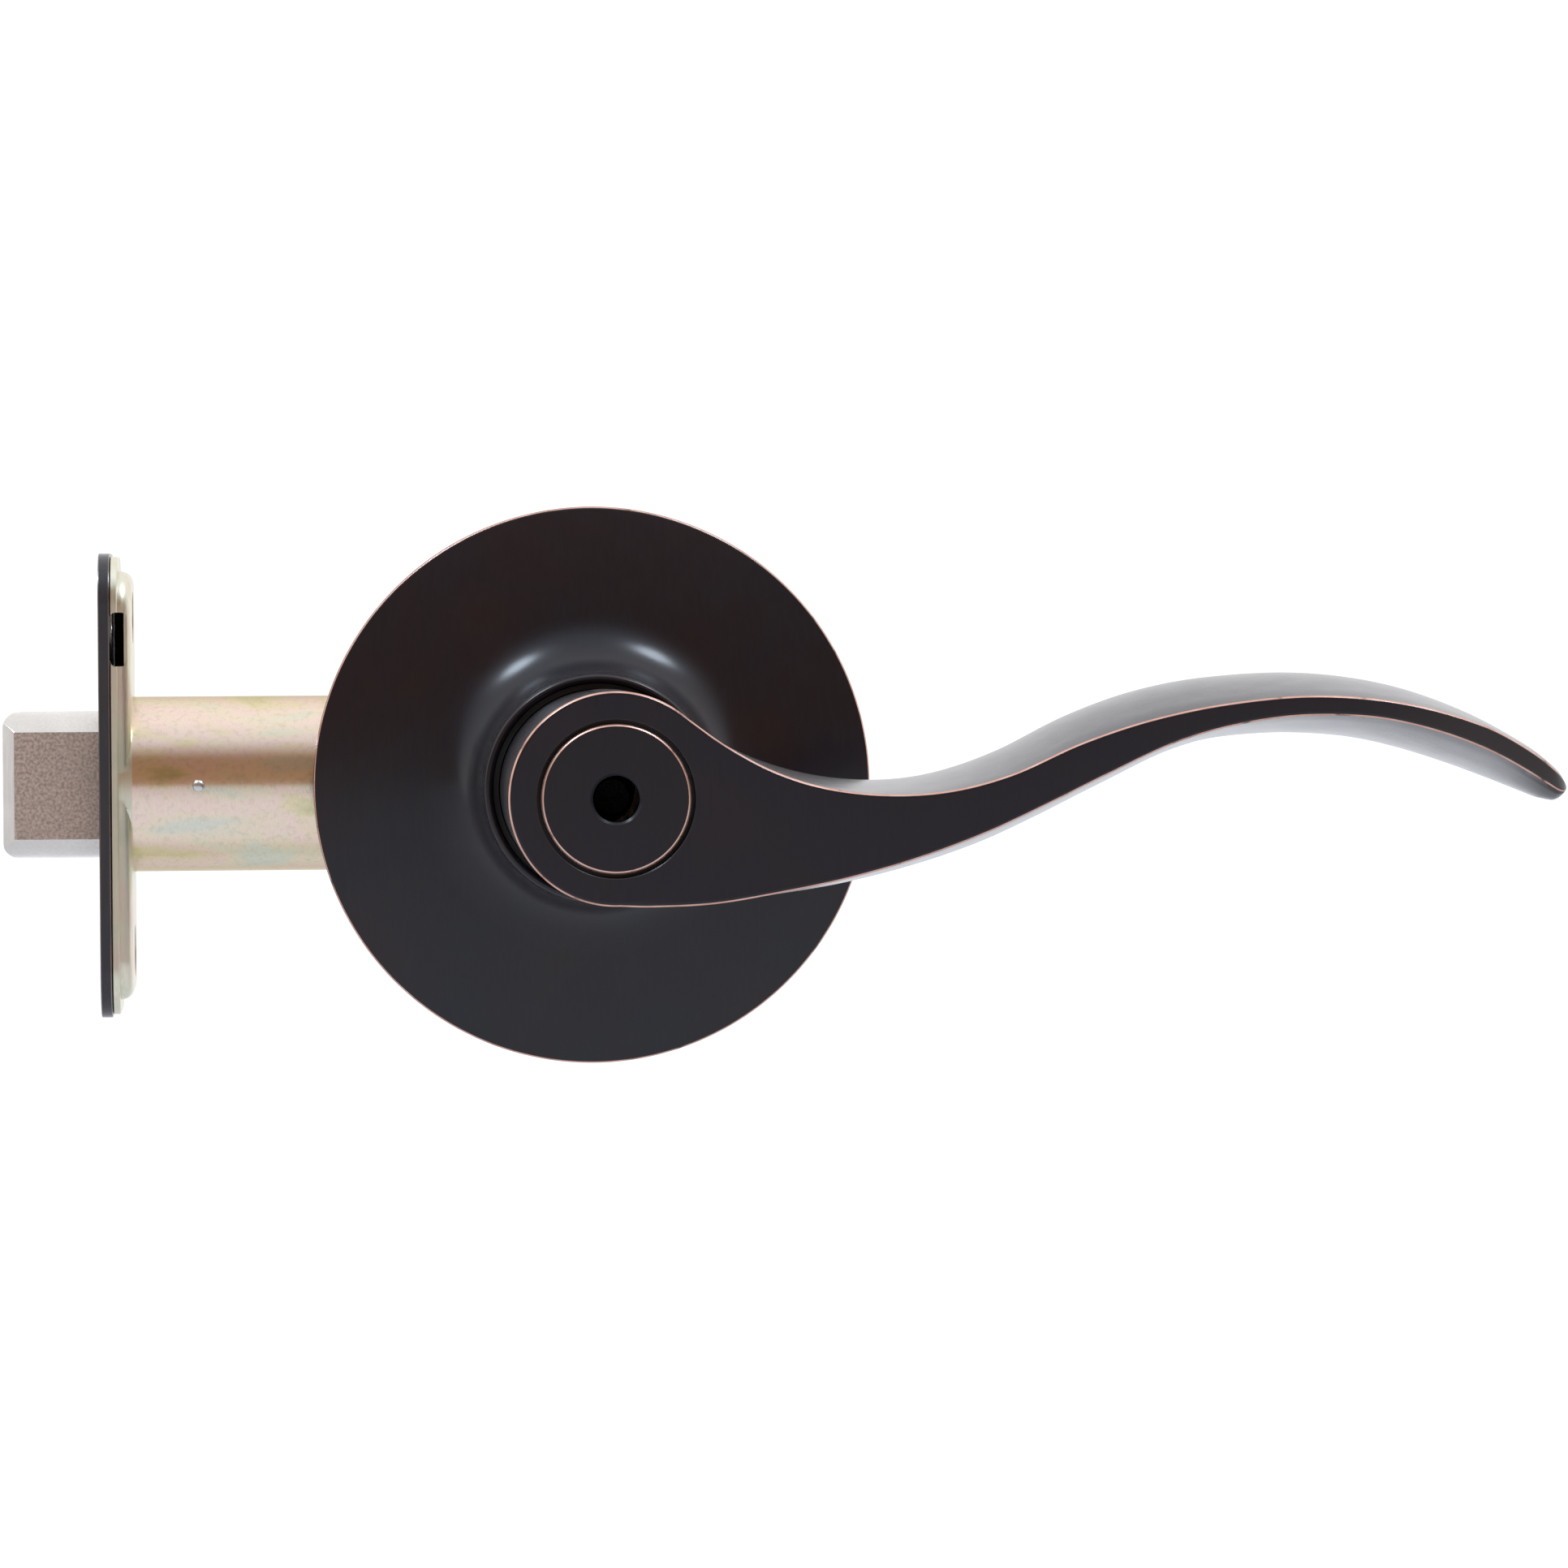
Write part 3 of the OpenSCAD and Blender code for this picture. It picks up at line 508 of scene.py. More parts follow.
def make_finishes():
    """The finish of each of the record's material slots, as (body, worn edge); for the pale zinc, the
    second is painted shade on the pan's inside.
    """
    copper_edge = copper("copper_edge", (0.64, 0.34, 0.26), (0.80, 0.48, 0.38))
    copper_rim = copper("copper_rim", (0.86, 0.52, 0.43), (0.95, 0.64, 0.54))
    dark_edge = plated("worn_dark_edge", [(0.20, 0.17, 0.16), (0.34, 0.28, 0.26)])
    bright_edge = plated("bright_edge", [(0.72, 0.72, 0.70), (0.84, 0.83, 0.80)], rough=(0.18, 0.26))
    lever = bronze("dark_bronze", (0.011, 0.008, 0.014), (0.007, 0.007, 0.015), worn_from=WORN_FROM)
    disc = bronze("dark_bronze_disc", (0.010, 0.008, 0.013), (0.007, 0.007, 0.014))
    rose = bronze("dark_bronze_rose", (0.012, 0.005, 0.007), (0.006, 0.006, 0.011))
    faceplate = bronze("dark_bronze_plate", (0.045, 0.038, 0.040), (0.036, 0.037, 0.044))
    oxide = grainy("black_oxide", (0.022, 0.022, 0.024), (0.006, 0.006, 0.007))
    oxide_edge = grainy("black_oxide_edge", (0.05, 0.05, 0.05), (0.01, 0.01, 0.01))
    spring_steel = plated("spring_steel", [(0.42, 0.43, 0.45), (0.58, 0.58, 0.60)])
    bright_zinc = plated("bright_zinc", [(0.62, 0.63, 0.64), (0.74, 0.74, 0.73), (0.70, 0.73, 0.76)])
    nylon = grainy(
        "black_nylon", (0.016, 0.016, 0.017), (0.010, 0.010, 0.010),
        feature=0.4, rough=(0.5, 0.6), metallic=0.0, depth=0.006)
    nylon_edge = grainy(
        "black_nylon_edge", (0.03, 0.03, 0.03), (0.02, 0.02, 0.02),
        feature=0.4, rough=(0.4, 0.5), metallic=0.0, depth=0.004)
    steel = plated("plain_steel", [(0.30, 0.29, 0.28), (0.44, 0.43, 0.41)])
    yellow_zinc = plated(
        "yellow_zinc", [(0.62, 0.60, 0.36), (0.74, 0.66, 0.40), (0.76, 0.58, 0.44), (0.64, 0.68, 0.50)])
    pale_zinc = plated(
        "pale_zinc", [(0.70, 0.72, 0.58), (0.82, 0.78, 0.62), (0.84, 0.70, 0.60)], rough=(0.3, 0.42))
    # Painted shade: a dark, dull tone for the pan's inside, seen through the notch, standing in for the
    # shade that falls there.
    pan_inside_painted_shade = grainy(
        "pan_inside_painted_shade", (0.10, 0.09, 0.07), (0.04, 0.036, 0.03), rough=(0.6, 0.7), metallic=0.5)
    nickel = plated(
        "nickel_bolt", [(0.75, 0.71, 0.665), (0.83, 0.79, 0.74)], rough=(0.20, 0.28), depth=0.0005)
    sintered = grainy(
        "sintered_flat", (0.78, 0.65, 0.56), (0.44, 0.36, 0.31), feature=0.36, rough=(0.42, 0.55))
    cast_zinc = grainy(
        "cast_zinc", (0.66, 0.66, 0.64), (0.44, 0.44, 0.43), feature=0.5, rough=(0.35, 0.5))
    return {
        "dark_bronze": (lever, copper_edge),
        "dark_bronze_disc": (disc, copper_rim),
        "dark_bronze_rose": (rose, copper_edge),
        "dark_bronze_plate": (faceplate, dark_edge),
        "black_oxide": (oxide, oxide_edge),
        "spring_steel": (spring_steel, bright_edge),
        "bright_zinc": (bright_zinc, bright_edge),
        "black_nylon": (nylon, nylon_edge),
        "plain_steel": (steel, bright_edge),
        "yellow_zinc": (yellow_zinc, bright_edge),
        "pale_zinc": (pale_zinc, pan_inside_painted_shade),
        "yellow_zinc_tube": (tube_zinc(), bright_edge),
        "nickel_bolt": (nickel, sintered),
        "cast_zinc": (cast_zinc, bright_edge),
    }


# ---------- pieces ----------

def slots_of(record):
    """Each CAD node's material slot."""
    return {row["node"]: row["material_slot"] for row in record["subparts"]}


def body_of(record, node):
    """The body that a CAD node rides on."""
    for body, nodes in record["behaviour"]["bodies"].items():
        if node in nodes:
            return body
    raise KeyError(node)


def in_mm(corners):
    """A box's corners in millimetres."""
    return [Vector(c) / MM for c in corners]


def place(piece, node, ride=True):
    """Gives a finished piece its materials and, if it rides, its body, and hides the CAD node that it
    stands for.
    """
    slot = SLOTS[node]
    materials = piece.data.materials
    for i, material in enumerate(FINISHES[slot]):
        if i < len(materials):
            materials[i] = material
        else:
            materials.append(material)
    if ride:
        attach(piece, body_of(RECORD, node))
    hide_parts(node)
    return piece


def refined(node, bevel=BEVEL, flat_axis=None):
    """A CAD node's own shape with its facets joined and its edges broken, as a machined part has them.
    Faces square to flat_axis, if it is given, take the second finish; otherwise the bevels do."""
    same_plane, sharp_turn, squareness = math.radians(0.3), math.radians(30), 0.85
    mesh = frame["nodes"][node].data.copy()
    work = bmesh.new()
    work.from_mesh(mesh)
    bmesh.ops.remove_doubles(work, verts=work.verts, dist=0.001 * MM)
    bmesh.ops.dissolve_limit(
        work, angle_limit=same_plane, verts=work.verts, edges=work.edges, delimit={"NORMAL"})
    for face in work.faces:
        face.material_index = 0
    sharp = [e for e in work.edges if len(e.link_faces) == 2 and e.calc_face_angle(0) > sharp_turn]
    bmesh.ops.bevel(
        work, geom=sharp, offset=bevel * MM, segments=2, profile=0.5, affect="EDGES",
        clamp_overlap=True, material=0 if flat_axis else 1)
    if flat_axis:
        work.normal_update()
        for face in work.faces:
            if abs(face.normal.dot(Vector(flat_axis))) > squareness:
                face.material_index = 1
    work.to_mesh(mesh)
    work.free()
    piece = bpy.data.objects.new(node + "_finished", mesh)
    bpy.context.scene.collection.objects.link(piece)
    if "custom_normal" in mesh.attributes:
        mesh.attributes.remove(mesh.attributes["custom_normal"])
    finish_mesh(piece)
    return flat_shaded(place(piece, node))


def face_out(x):
    """How far out the lever's front face is at x: it curls back at the tip."""
    start = LEVER_LENGTH - CURL_LENGTH
    if x <= start:
        return LEVER_OUT
    radius = CURL_LENGTH + 0.2
    t = min(1.0, (x - start) / radius)
    return LEVER_OUT - CURL * (1 - math.sqrt(1 - t * t))


def back_out(x):
    """How far out the blade's back edge is at x: deeper at the hub, rounded off at the tip."""
    full = LEVER_OUT - BLADE_DEPTH - ROOT_FILLET * (1 - ease(ROOT_START, ROOT_END, x))
    start = LEVER_LENGTH - TIP_LENGTH
    if x <= start:
        return full
    t = min(1.0, (x - start) / TIP_LENGTH)
    tip_depth = 1.0
    end = face_out(LEVER_LENGTH) - tip_depth
    return end + (full - end) * math.sqrt(1 - t * t)


def top_edge(x):
    """Upper edge of the front face: it follows the head's circle and leaves it smoothly."""
    leave = TOP_EDGE[0][0]
    if x <= leave:
        radius = HEAD_R - 0.03
        return math.sqrt(radius**2 - x**2)
    return smooth(TOP_EDGE, x)


def blade_ring(x):
    """One cross-section of the blade: flat front with bevelled edges, swelling sides, rounded back."""
    side_steps, back_steps = 12, 10
    top, bottom = top_edge(x), smooth(BOTTOM_EDGE, x)
    middle = (top + bottom) / 2
    front = face_out(x)
    depth = front - back_out(x)
    at_tip = ease(LEVER_LENGTH - TIP_THINNING, LEVER_LENGTH - 1, x)
    widest = WIDEST - (WIDEST - TIP_WIDEST) * at_tip
    past = max(0.0, (x - LEVER_LENGTH + TIP_ROUND) / TIP_ROUND)
    end_round = math.sqrt(max(0.02, 1 - past**2))
    half = (top - bottom) / 2 * end_round
    thin = min(1.0, 1.3 * depth / BLADE_DEPTH + 0.2) * end_round
    edge = min(EDGE_R, depth / 4, half / 2)

    def side(swell):
        points = [(front - out, half - inset) for inset, out in rounded_edge(edge)]
        start = edge / depth
        shares = [start + (widest - start) * i / side_steps for i in range(1, side_steps + 1)]
        quarter = [math.radians(90 * i / back_steps) for i in range(1, back_steps + 1)]
        shares += [widest + (1 - widest) * math.sin(a) for a in quarter]
        for u in shares:
            v = max(0.0, (u - widest) / (1 - widest))
            thick = half + swell * math.sin(math.radians(90 * min(1.0, u / widest)))
            thick *= BACK_END + (1 - BACK_END) * math.sqrt(max(0.0, 1 - v * v))
            points.append((front - depth * u, thick))
        return points

    lower = [(x, -out, middle - z) for out, z in side(smooth(SWELL_BOTTOM, x) * thin)]
    upper = [(x, -out, middle + z) for out, z in reversed(side(smooth(SWELL_TOP, x) * thin))]
    return lower + upper


def make_blade():
    """The blade, from inside the head to the tip, where its cross-sections lie closer together."""
    tip = LEVER_LENGTH - TIP_LENGTH
    long_steps, tip_steps = 110, 40
    stations = [BLADE_START + (tip - BLADE_START) * i / long_steps for i in range(long_steps)]
    quarter = [math.radians(90 * i / tip_steps) for i in range(tip_steps + 1)]
    stations += [tip + TIP_LENGTH * math.sin(a) for a in quarter]
    rings = [blade_ring(x) for x in stations]
    return loft("blade", rings, copper=(2, len(rings[0]) - 4))


def make_lever():
    """The lever's casting: a round head and neck, the blade, and the bores inside."""
    middle_r = CORE_R / 3    # the bores take away what is near it
    profile = [(middle_r, LEVER_OUT)]
    profile += [(HEAD_R - inset, LEVER_OUT - depth) for inset, depth in rounded_edge(EDGE_R)]
    profile += [
        (HEAD_BACK_R, SHOULDER_OUT + BROKEN_EDGE), (HEAD_BACK_R - BROKEN_EDGE, SHOULDER_OUT),
        (NECK_R, SHOULDER_OUT - 0.1), (NECK_R, NECK_OUT + BROKEN_EDGE),
        (NECK_R - BROKEN_EDGE, NECK_OUT), (middle_r, NECK_OUT),
    ]
    head = spin("lever_casting", profile, copper=(3,))
    combine(head, make_blade(), "UNION")
    seat = LEVER_OUT - DISC_T - DISC_SEAT_GAP
    recess_r = DISC_R + DISC_GAP
    bores = spin("bores", [
        (MIDDLE_R, LEVER_OUT + 1), (recess_r + 0.1, LEVER_OUT + 1), (recess_r + 0.1, LEVER_OUT),
        (recess_r, LEVER_OUT - 0.1), (recess_r, seat), (CORE_R, seat),
        (CORE_R, SOCKET_OUT), (SOCKET_R, SOCKET_OUT),
        (SOCKET_R, NECK_OUT + 0.4), (SOCKET_R + 0.5, NECK_OUT - 0.1), (SOCKET_R + 0.5, NECK_OUT - 1),
        (MIDDLE_R, NECK_OUT - 1),
    ])
    combine(head, bores, "DIFFERENCE")
    screw_hole = spin("screw_hole", [
        (MIDDLE_R, 7), (SET_SCREW_HOLE_R, 7), (SET_SCREW_HOLE_R, HEAD_R + 1), (MIDDLE_R, HEAD_R + 1),
    ], steps=48, centre=(0, -SET_SCREW_OUT, 0), turn=Matrix.Rotation(math.radians(90), 3, "X"))
    combine(head, screw_hole, "DIFFERENCE")
    finish_mesh(head, sharp_angle=40)
    return flat_shaded(place(head, "lever"))


def make_disc():
    """The disc in the lever's head, with a copper rim and the release hole's lip."""
    back = LEVER_OUT - DISC_T
    profile = [(RELEASE_HOLE_R + DISC_LIP, LEVER_OUT)]
    profile += [(DISC_R - inset, LEVER_OUT - depth) for inset, depth in rounded_edge(EDGE_R)]
    profile += [(DISC_R, back), (RELEASE_HOLE_R, back), (RELEASE_HOLE_R, LEVER_OUT - DISC_LIP)]
    disc = spin("release_disc", profile, copper=(2, 3))
    return flat_shaded(place(disc, "lever_insert"))


def make_rose():
    """The drawn sheet rose: a thin edge, a low cone, and a hollow flare up to the collar."""
    axis_r = COLLAR_R + FLARE_R
    foot_r = axis_r - FLARE_R * math.sin(DOME_SLOPE)
    foot_out = ROSE_EDGE + (ROSE_R - foot_r) * math.tan(DOME_SLOPE)
    axis_out = foot_out + FLARE_R * math.cos(DOME_SLOPE)
    slope = math.degrees(DOME_SLOPE)
    rim = ROSE_WALL / 2
    outer = [(ROSE_R, 0.1)]
    outer += arc((ROSE_R - EDGE_R, ROSE_EDGE - EDGE_R), EDGE_R, 0, 90 - slope, 3)
    outer += arc((axis_r, axis_out), FLARE_R, 270 - slope, 180, 40)
    outer += arc((COLLAR_R - rim, ROSE_OUT - rim), rim, 0, 180, 12)
    inner = arc((axis_r, axis_out), FLARE_R + ROSE_WALL, 180, 270 - slope, 30)
    inner += [(ROSE_R - ROSE_WALL, ROSE_EDGE - ROSE_WALL), (ROSE_R - ROSE_WALL, 0), (ROSE_R - 0.1, 0)]
    return place(spin("rose_shell", outer + inner, copper=(2,), steps=320), "rose_cover")


def rounded_box(w, h, corner):
    """Outline of a rectangle with round corners, as (across, up)."""
    points = []
    for i, (across, up) in enumerate(((1, 1), (-1, 1), (-1, -1), (1, -1))):
        centre = (across * (w / 2 - corner), up * (h / 2 - corner))
        points += arc(centre, corner, 90 * i, 90 * i + 90, 10)
    return points


def sheet_block(name, w, h, corner, stations):
    """A round-cornered block square to the latch; stations are (along x, how far in its sides are)."""
    rings = []
    for x, inset in stations:
        outline = rounded_box(w - 2 * inset, h - 2 * inset, corner - inset)
        rings.append([(x, LATCH_Y + across, up) for across, up in outline])
    return loft(name, rings)


def bent_round(start, end, radius):
    """Stations of a pan's side from start to end, bent round at the end."""
    turns = [math.radians(15 * i) for i in range(7)]
    bend = [(end - radius + radius * math.sin(a), radius * (1 - math.cos(a))) for a in turns]
    return [(start, 0)] + bend


def latch_cylinder(name, radius, start, end, up=0.0):
    """A cylinder along the latch, from start to end in x."""
    sides = 144
    circle = arc((LATCH_Y, up), radius, 0, 360 - 360 / sides, sides - 1)
    return loft(name, [[(x, y, z) for y, z in circle] for x in (start, end)])


def make_notch(start, end):
    """What the notch cuts out of the pan's side, from start to end in x."""
    centre = (start + end) / 2
    outline = rounded_box(end - start, NOTCH_HIGH - NOTCH_LOW, NOTCH_CORNER_R)
    middle = (NOTCH_LOW + NOTCH_HIGH) / 2
    near, far = LATCH_Y - PAN_W, LATCH_Y - PAN_W / 2 + NOTCH_DEPTH
    return loft("notch", [[(centre + x, y, middle + z) for x, z in outline] for y in (near, far)])


def make_backplate():
    """The sheet behind the faceplate: a flange, and a hollow pan with a boss that the tube passes; the
    pan's inside carries painted shade.
    """
    low, high = in_mm(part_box("backplate"))
    front, back = low.x, high.x
    edge = PLATE_EDGE
    plate = sheet_block("backplate_finished", BACKPLATE_W, BACKPLATE_H, BACKPLATE_CORNER_R, [
        (front, edge), (front + edge, 0), (front + SHEET_T - edge, 0), (front + SHEET_T, edge)])
    pan = sheet_block("pan", PAN_W, PAN_H, PAN_CORNER_R, bent_round(front + edge, back, PAN_BEND_R))
    combine(plate, pan, "UNION")
    combine(plate, latch_cylinder("tube_seat", TUBE_R, front + edge, back), "UNION")
    hollow = sheet_block("hollow", PAN_W - 2 * SHEET_T, PAN_H - 2 * SHEET_T, PAN_CORNER_R - SHEET_T,
                         bent_round(front - 1, back - SHEET_T, PAN_BEND_R - SHEET_T))
    # The hollow's faces take the pale zinc's second finish, which is painted shade on the pan's inside.
    hollow.data.polygons.foreach_set("material_index", [1] * len(hollow.data.polygons))
    combine(hollow, latch_cylinder("boss", TUBE_R, front - 2, back + 1), "DIFFERENCE")
    combine(plate, hollow, "DIFFERENCE")
    combine(plate, latch_cylinder("bore", TUBE_BORE_R, front - 2, back + 2), "DIFFERENCE")
    for side in (-1, 1):
        up = side * SCREW_SPACING / 2
        combine(plate, latch_cylinder("screw_hole", SCREW_CLEAR_R, front - 2, back + 2, up), "DIFFERENCE")
    combine(plate, make_notch(front, back - SHEET_T + 0.4), "DIFFERENCE")
    finish_mesh(plate)
    return flat_shaded(place(plate, "backplate"))


def make_tube():
    """The latch's tube, with its inner end's edges broken."""
    low, high = in_mm(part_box("latch_tube"))
    profile = [
        (TUBE_BORE_R, low.x), (TUBE_R, low.x), (TUBE_R, high.x - TUBE_EDGE), (TUBE_R - TUBE_EDGE, high.x),
        (TUBE_BORE_R + TUBE_EDGE, high.x), (TUBE_BORE_R, high.x - TUBE_EDGE),
    ]
    along_latch = Matrix.Rotation(math.radians(90), 3, "Z")
    tube = spin("latch_tube_finished", profile, copper=(2, 4), centre=(0, LATCH_Y, 0), turn=along_latch)
    return flat_shaded(place(tube, "latch_tube"))


def wire(name, path, radius, sides=14):
    """A round wire along a path of points in millimetres, with closed ends."""
    rings = []
    for i, point in enumerate(path):
        before, after = path[max(i - 1, 0)], path[min(i + 1, len(path) - 1)]
        along = (after - before).normalized()
        if i == 0:
            across = along.orthogonal().normalized()
        else:
            across = (across - across.dot(along) * along).normalized()
        other = along.cross(across)
        rings.append([
            point + radius * (math.cos(a) * across + math.sin(a) * other)
            for a in (2 * math.pi * k / sides for k in range(sides))
        ])
    return loft(name, rings)


def closed_pitch(share):
    """How far along its length a compression spring's wire is: its end turns lie close."""
    if share < END_TURNS:
        return share * END_PITCH
    if share > 1 - END_TURNS:
        return 1 - (1 - share) * END_PITCH
    low, high = END_TURNS * END_PITCH, 1 - END_TURNS * END_PITCH
    return low + (high - low) * (share - END_TURNS) / (1 - 2 * END_TURNS)


def compression_spring(name, low, high, axis, wire_r, turns):
    """A compression spring that fills the box from low to high, in millimetres, along axis."""
    size = high - low
    centre = (low + high) / 2
    others = [i for i in range(3) if i != axis]
    mean_r = min(size[others[0]], size[others[1]]) / 2 - wire_r
    steps_per_turn = 36
    count = int(turns * steps_per_turn)
    path = []
    for i in range(count + 1):
        angle = 2 * math.pi * turns * i / count
        point = Vector(centre)
        point[others[0]] += mean_r * math.cos(angle)
        point[others[1]] += mean_r * math.sin(angle)
        point[axis] = low[axis] + wire_r + (size[axis] - 2 * wire_r) * closed_pitch(i / count)
        path.append(point)
    return wire(name, path, wire_r)


def make_bolt_spring():
    """The spring that pushes the bolt out: the bolt presses it against its stop."""
    low, high = in_mm(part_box("bolt_spring"))
    coil = compression_spring("bolt_spring_finished", low, high, 0, BOLT_WIRE_R, BOLT_TURNS)
    spring = place(coil, "bolt_spring")
    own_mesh(spring)
    return spring


def make_release_spring():
    """The spring that pushes the release rod out: the rod presses it against its seat."""
    low, high = in_mm(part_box("release_spring"))
    coil = compression_spring("release_spring_finished", low, high, 1, RELEASE_WIRE_R, RELEASE_TURNS)
    spring = place(coil, "release_spring")
    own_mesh(spring)
    return spring


def make_return_spring():
    """The torsion spring: two turns and a half, with a straight leg each side of the rotor's lug."""
    low, high = in_mm(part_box("return_spring"))
    mean_r = (high.x - low.x) / 2 - RETURN_WIRE_R
    start = math.acos(RETURN_LEG_X / mean_r)
    sweep = 2 * math.pi * RETURN_TURNS + 2 * start
    leg_steps, coil_steps = 6, 150
    foot = mean_r * math.sin(start)
    top = high.z - RETURN_WIRE_R
    first, last = low.y + RETURN_WIRE_R, high.y - RETURN_WIRE_R
    path = []
    for i in range(leg_steps):
        path.append(Vector((RETURN_LEG_X, first, top + (foot - top) * i / leg_steps)))
    for i in range(coil_steps + 1):
        angle = start - sweep * i / coil_steps
        along = first + (last - first) * i / coil_steps
        path.append(Vector((mean_r * math.cos(angle), along, mean_r * math.sin(angle))))
    for i in range(1, leg_steps + 1):
        path.append(Vector((-RETURN_LEG_X, last, foot + (top - foot) * i / leg_steps)))
    spring = place(wire("return_spring_finished", path, RETURN_WIRE_R), "return_spring", ride=False)
    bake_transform(spring)
    return spring


def make_nib():
    """The small domed rivet on the tube."""
    low, high = in_mm(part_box("tube_rivet"))
    out_low, out_high = -high.y, -low.y
    foot = out_high - NIB_DOME
    nearly_square, dome_steps = 89, 8
    turns = [math.radians(nearly_square * i / dome_steps) for i in range(dome_steps + 1)]
    profile = [(MIDDLE_R, out_low), (NIB_STEM_R, out_low), (NIB_STEM_R, foot)]
    profile += [(NIB_R * math.cos(a), foot + NIB_DOME * math.sin(a)) for a in turns]
    centre = ((low.x + high.x) / 2, 0, (low.z + high.z) / 2)
    return place(spin("tube_rivet_finished", profile, steps=48, centre=centre), "tube_rivet")


# ---------- surroundings ----------

def make_camera():
    """The camera, from its place and the way it looks."""
    yaw, pitch, roll = CAMERA_YAW, CAMERA_PITCH, CAMERA_ROLL
    ahead = Vector((math.sin(yaw) * math.cos(pitch), math.cos(yaw) * math.cos(pitch), math.sin(pitch)))
    level = Vector((math.cos(yaw), -math.sin(yaw), 0))
    upright = level.cross(ahead)
    right = math.cos(roll) * level + math.sin(roll) * upright
    up = math.cos(roll) * upright - math.sin(roll) * level
    data = bpy.data.cameras.new("camera")
    data.lens = CAMERA_LENS
    data.sensor_width = SENSOR_W
    data.clip_start = 0.01
    camera = bpy.data.objects.new("camera", data)
    bpy.context.scene.collection.objects.link(camera)
    camera.matrix_world = Matrix((
        (right.x, up.x, -ahead.x, CAMERA_PLACE[0] * MM),
        (right.y, up.y, -ahead.y, CAMERA_PLACE[1] * MM),
        (right.z, up.z, -ahead.z, CAMERA_PLACE[2] * MM),
        (0, 0, 0, 1),
    ))
    bpy.context.scene.camera = camera


def make_softbox(name, spot, power):
    """A round area light that points at the rose."""
    data = bpy.data.lights.new(name, "AREA")
    data.shape = "ELLIPSE"
    data.size = SOFTBOX_W
    data.size_y = SOFTBOX_W
    data.energy = power
    data.color = SOFTBOX_TINT
    light = bpy.data.objects.new(name, data)
    bpy.context.scene.collection.objects.link(light)
    light.location = spot
    light.rotation_euler = (-Vector(spot)).to_track_quat("-Z", "Y").to_euler()


def make_world():
    """A plain white studio whose light has a dim gap above the camera, where the room isn't lit."""
    world = bpy.data.worlds.new("studio")
    bpy.context.scene.world = world
    world.use_nodes = True
    tree = world.node_tree
    direction = tree.nodes.new("ShaderNodeTexCoord")
    split = tree.nodes.new("ShaderNodeSeparateXYZ")
    forward = tree.nodes.new("ShaderNodeMath")
    forward.operation = "MULTIPLY"
    forward.inputs[1].default_value = -1
    height = tree.nodes.new("ShaderNodeMath")
    height.operation = "ARCTAN2"
    share = tree.nodes.new("ShaderNodeMapRange")
    share.inputs["From Min"].default_value = -math.pi
    share.inputs["From Max"].default_value = math.pi
    ramp = tree.nodes.new("ShaderNodeValToRGB")
    while len(ramp.color_ramp.elements) < len(STUDIO):
        ramp.color_ramp.elements.new(1.0)
    for element, (degrees, colour) in zip(ramp.color_ramp.elements, STUDIO):
        element.position = degrees / 360 + 0.5
        element.color = (*colour, 1)
    tree.links.new(direction.outputs["Generated"], split.inputs["Vector"])
    tree.links.new(split.outputs["Y"], forward.inputs[0])
    tree.links.new(split.outputs["Z"], height.inputs[0])
    tree.links.new(forward.outputs["Value"], height.inputs[1])
    tree.links.new(height.outputs["Value"], share.inputs["Value"])
    tree.links.new(share.outputs["Result"], ramp.inputs["Fac"])
    seen = tree.nodes.new("ShaderNodeLightPath")
    pick = tree.nodes.new("ShaderNodeMix")
    pick.data_type = "RGBA"
    pick.inputs[MIX_SECOND].default_value = (1, 1, 1, 1)
    tree.links.new(seen.outputs["Is Camera Ray"], pick.inputs[MIX_SHARE])
    tree.links.new(ramp.outputs["Color"], pick.inputs[MIX_FIRST])
    tree.links.new(pick.outputs[MIX_COLOUR], tree.nodes["Background"].inputs["Color"])
    tree.nodes["Background"].inputs["Strength"].default_value = STUDIO_STRENGTH


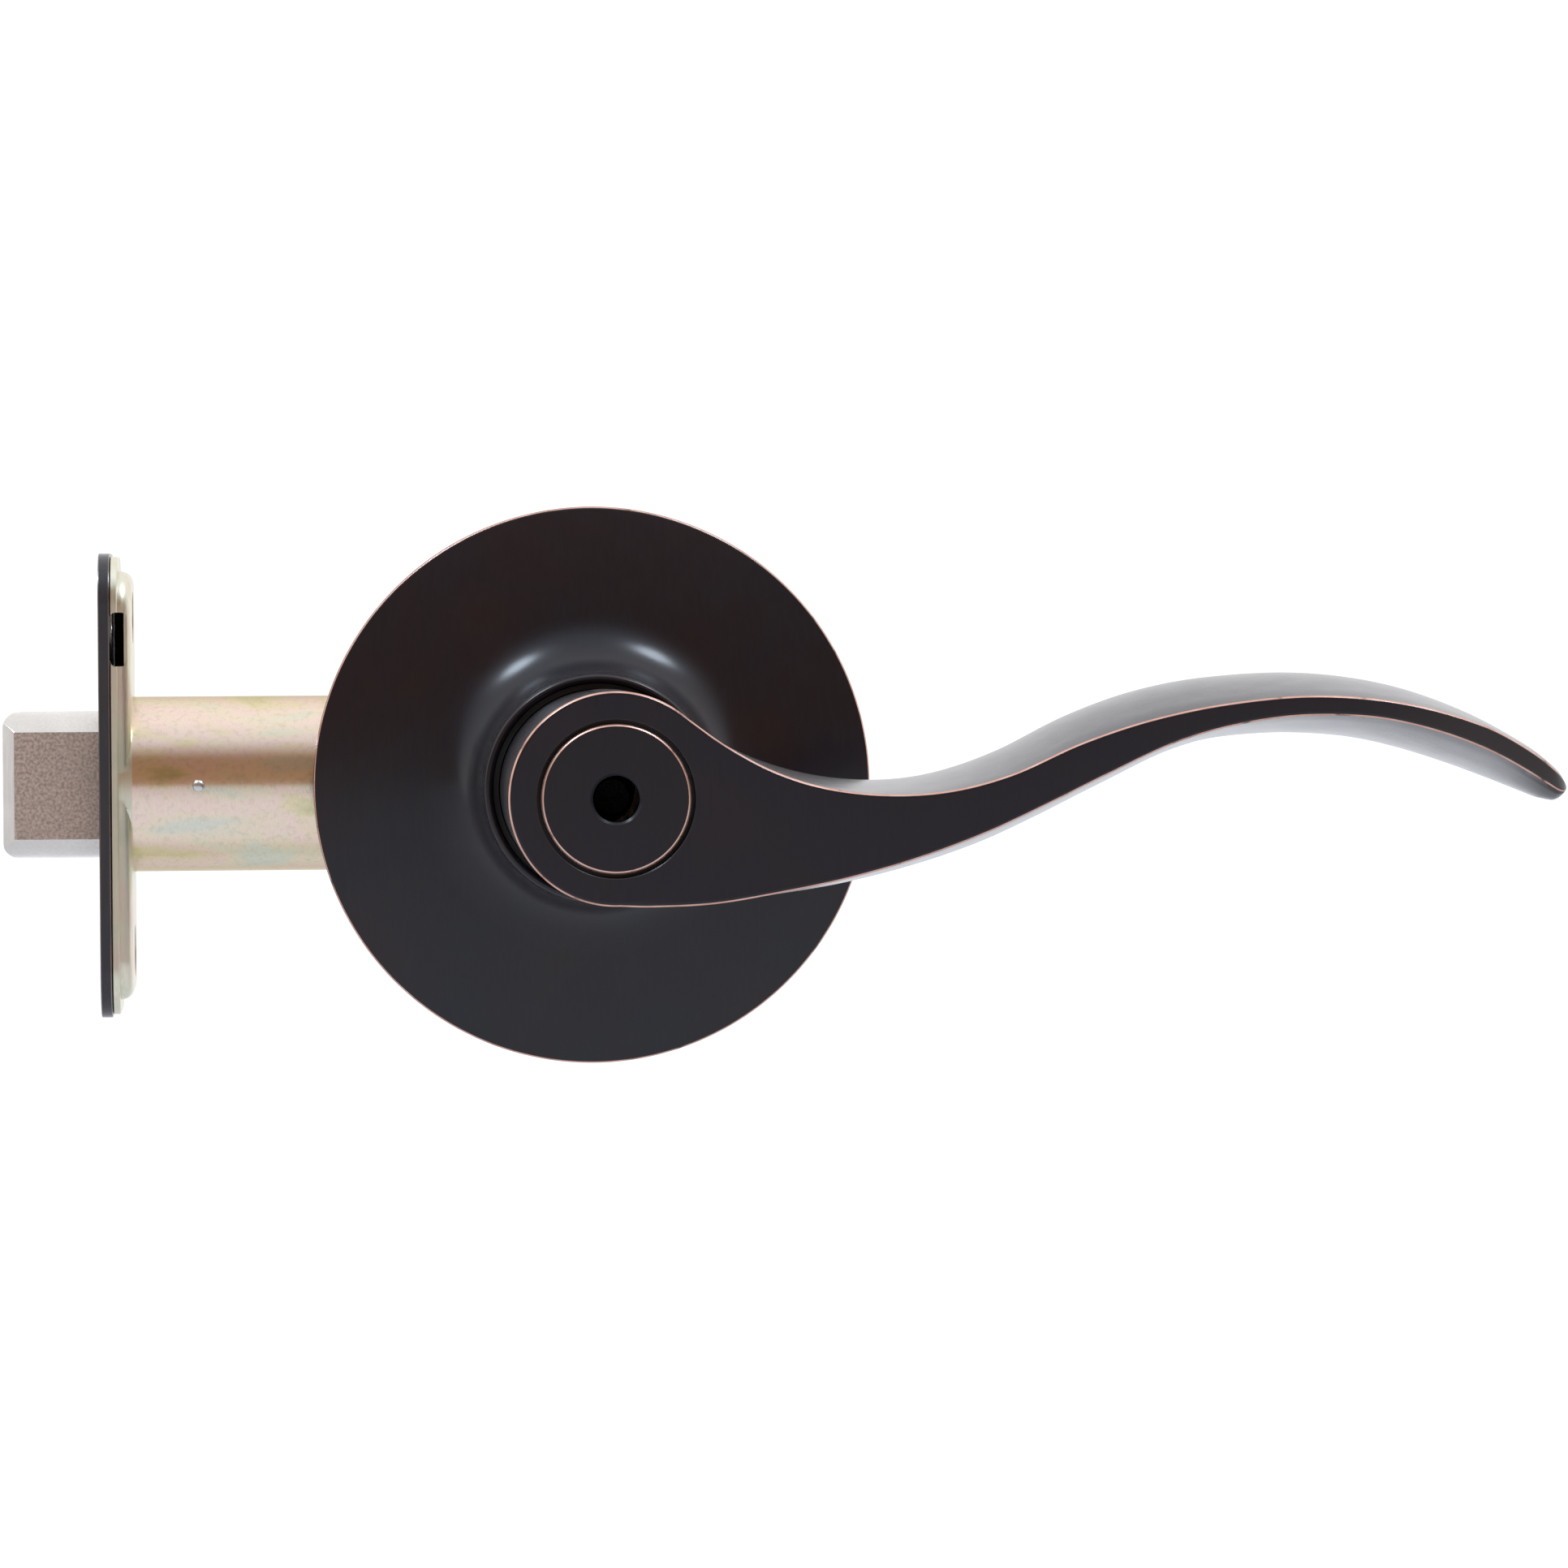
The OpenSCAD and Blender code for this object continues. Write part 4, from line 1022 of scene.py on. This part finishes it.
def make_floor():
    """A plain pale floor, well below the part, that is lit more strongly behind it."""
    half, low = FLOOR_HALF, FLOOR_LOW
    mesh = bpy.data.meshes.new("floor")
    mesh.from_pydata([(-half, -half, low), (half, -half, low), (half, half, low), (-half, half, low)],
                     [], [(0, 1, 2, 3)])
    floor = bpy.data.objects.new("floor", mesh)
    bpy.context.scene.collection.objects.link(floor)
    shader = Shader("pale_floor", metallic=0.0)
    split = shader.add("ShaderNodeSeparateXYZ")
    shader.link(shader.place, split.inputs["Vector"])
    lit = shader.add("ShaderNodeMapRange", interpolation_type="SMOOTHSTEP")
    lit.inputs["From Min"].default_value = FLOOR_LIT_FROM
    lit.inputs["From Max"].default_value = FLOOR_LIT_TO
    lit.inputs["To Min"].default_value = 0.25
    lit.inputs["To Max"].default_value = 0.75
    shader.link(split.outputs["Y"], lit.inputs["Value"])
    shader.link(lit.outputs["Result"], shader.surface.inputs["Emission Strength"])
    shader.surface.inputs["Emission Color"].default_value = (0.95, 0.97, 1, 1)
    shader.colour(shader.ramp(shader.noise(40), (0.3, (0.44, 0.45, 0.48)), (0.7, (0.46, 0.47, 0.50))))
    shader.surface.inputs["Roughness"].default_value = 0.9
    shader.surface.inputs["Specular IOR Level"].default_value = 0.0
    mesh.materials.append(shader.material)


# ---------- the model ----------

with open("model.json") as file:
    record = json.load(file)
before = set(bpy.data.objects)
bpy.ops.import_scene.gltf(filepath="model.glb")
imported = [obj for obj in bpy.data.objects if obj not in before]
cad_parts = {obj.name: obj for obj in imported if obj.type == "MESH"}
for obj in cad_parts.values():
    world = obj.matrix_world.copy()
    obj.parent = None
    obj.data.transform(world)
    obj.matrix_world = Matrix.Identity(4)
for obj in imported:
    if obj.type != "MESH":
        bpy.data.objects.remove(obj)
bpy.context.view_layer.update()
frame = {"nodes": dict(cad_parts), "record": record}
RECORD = frame["record"]
SLOTS = slots_of(RECORD)
FINISHES = make_finishes()

make_lever()
make_disc()
make_rose()
make_bolt_spring()
make_release_spring()
make_return_spring()
make_nib()
refined("latch_bolt", bevel=BOLT_BEVEL, flat_axis=(0, 1, 0))
make_tube()
make_backplate()
for plain in (
    "set_screw", "rotor", "spindle", "spindle_retainer", "release_rod", "nylon_bushing", "thrust_washer",
    "mounting_plate", "threaded_posts", "plate_washer", "retaining_ring", "spring_case", "case_rivets",
    "faceplate", "bolt_pin", "spring_stop", "retractor", "latch_cam", "front_case_plate",
    "rear_case_plate", "case_spacers",
):
    refined(plain)

make_floor()
make_world()
for softbox in SOFTBOXES:
    make_softbox(*softbox)
make_camera()
bpy.context.scene.view_settings.view_transform = "Standard"
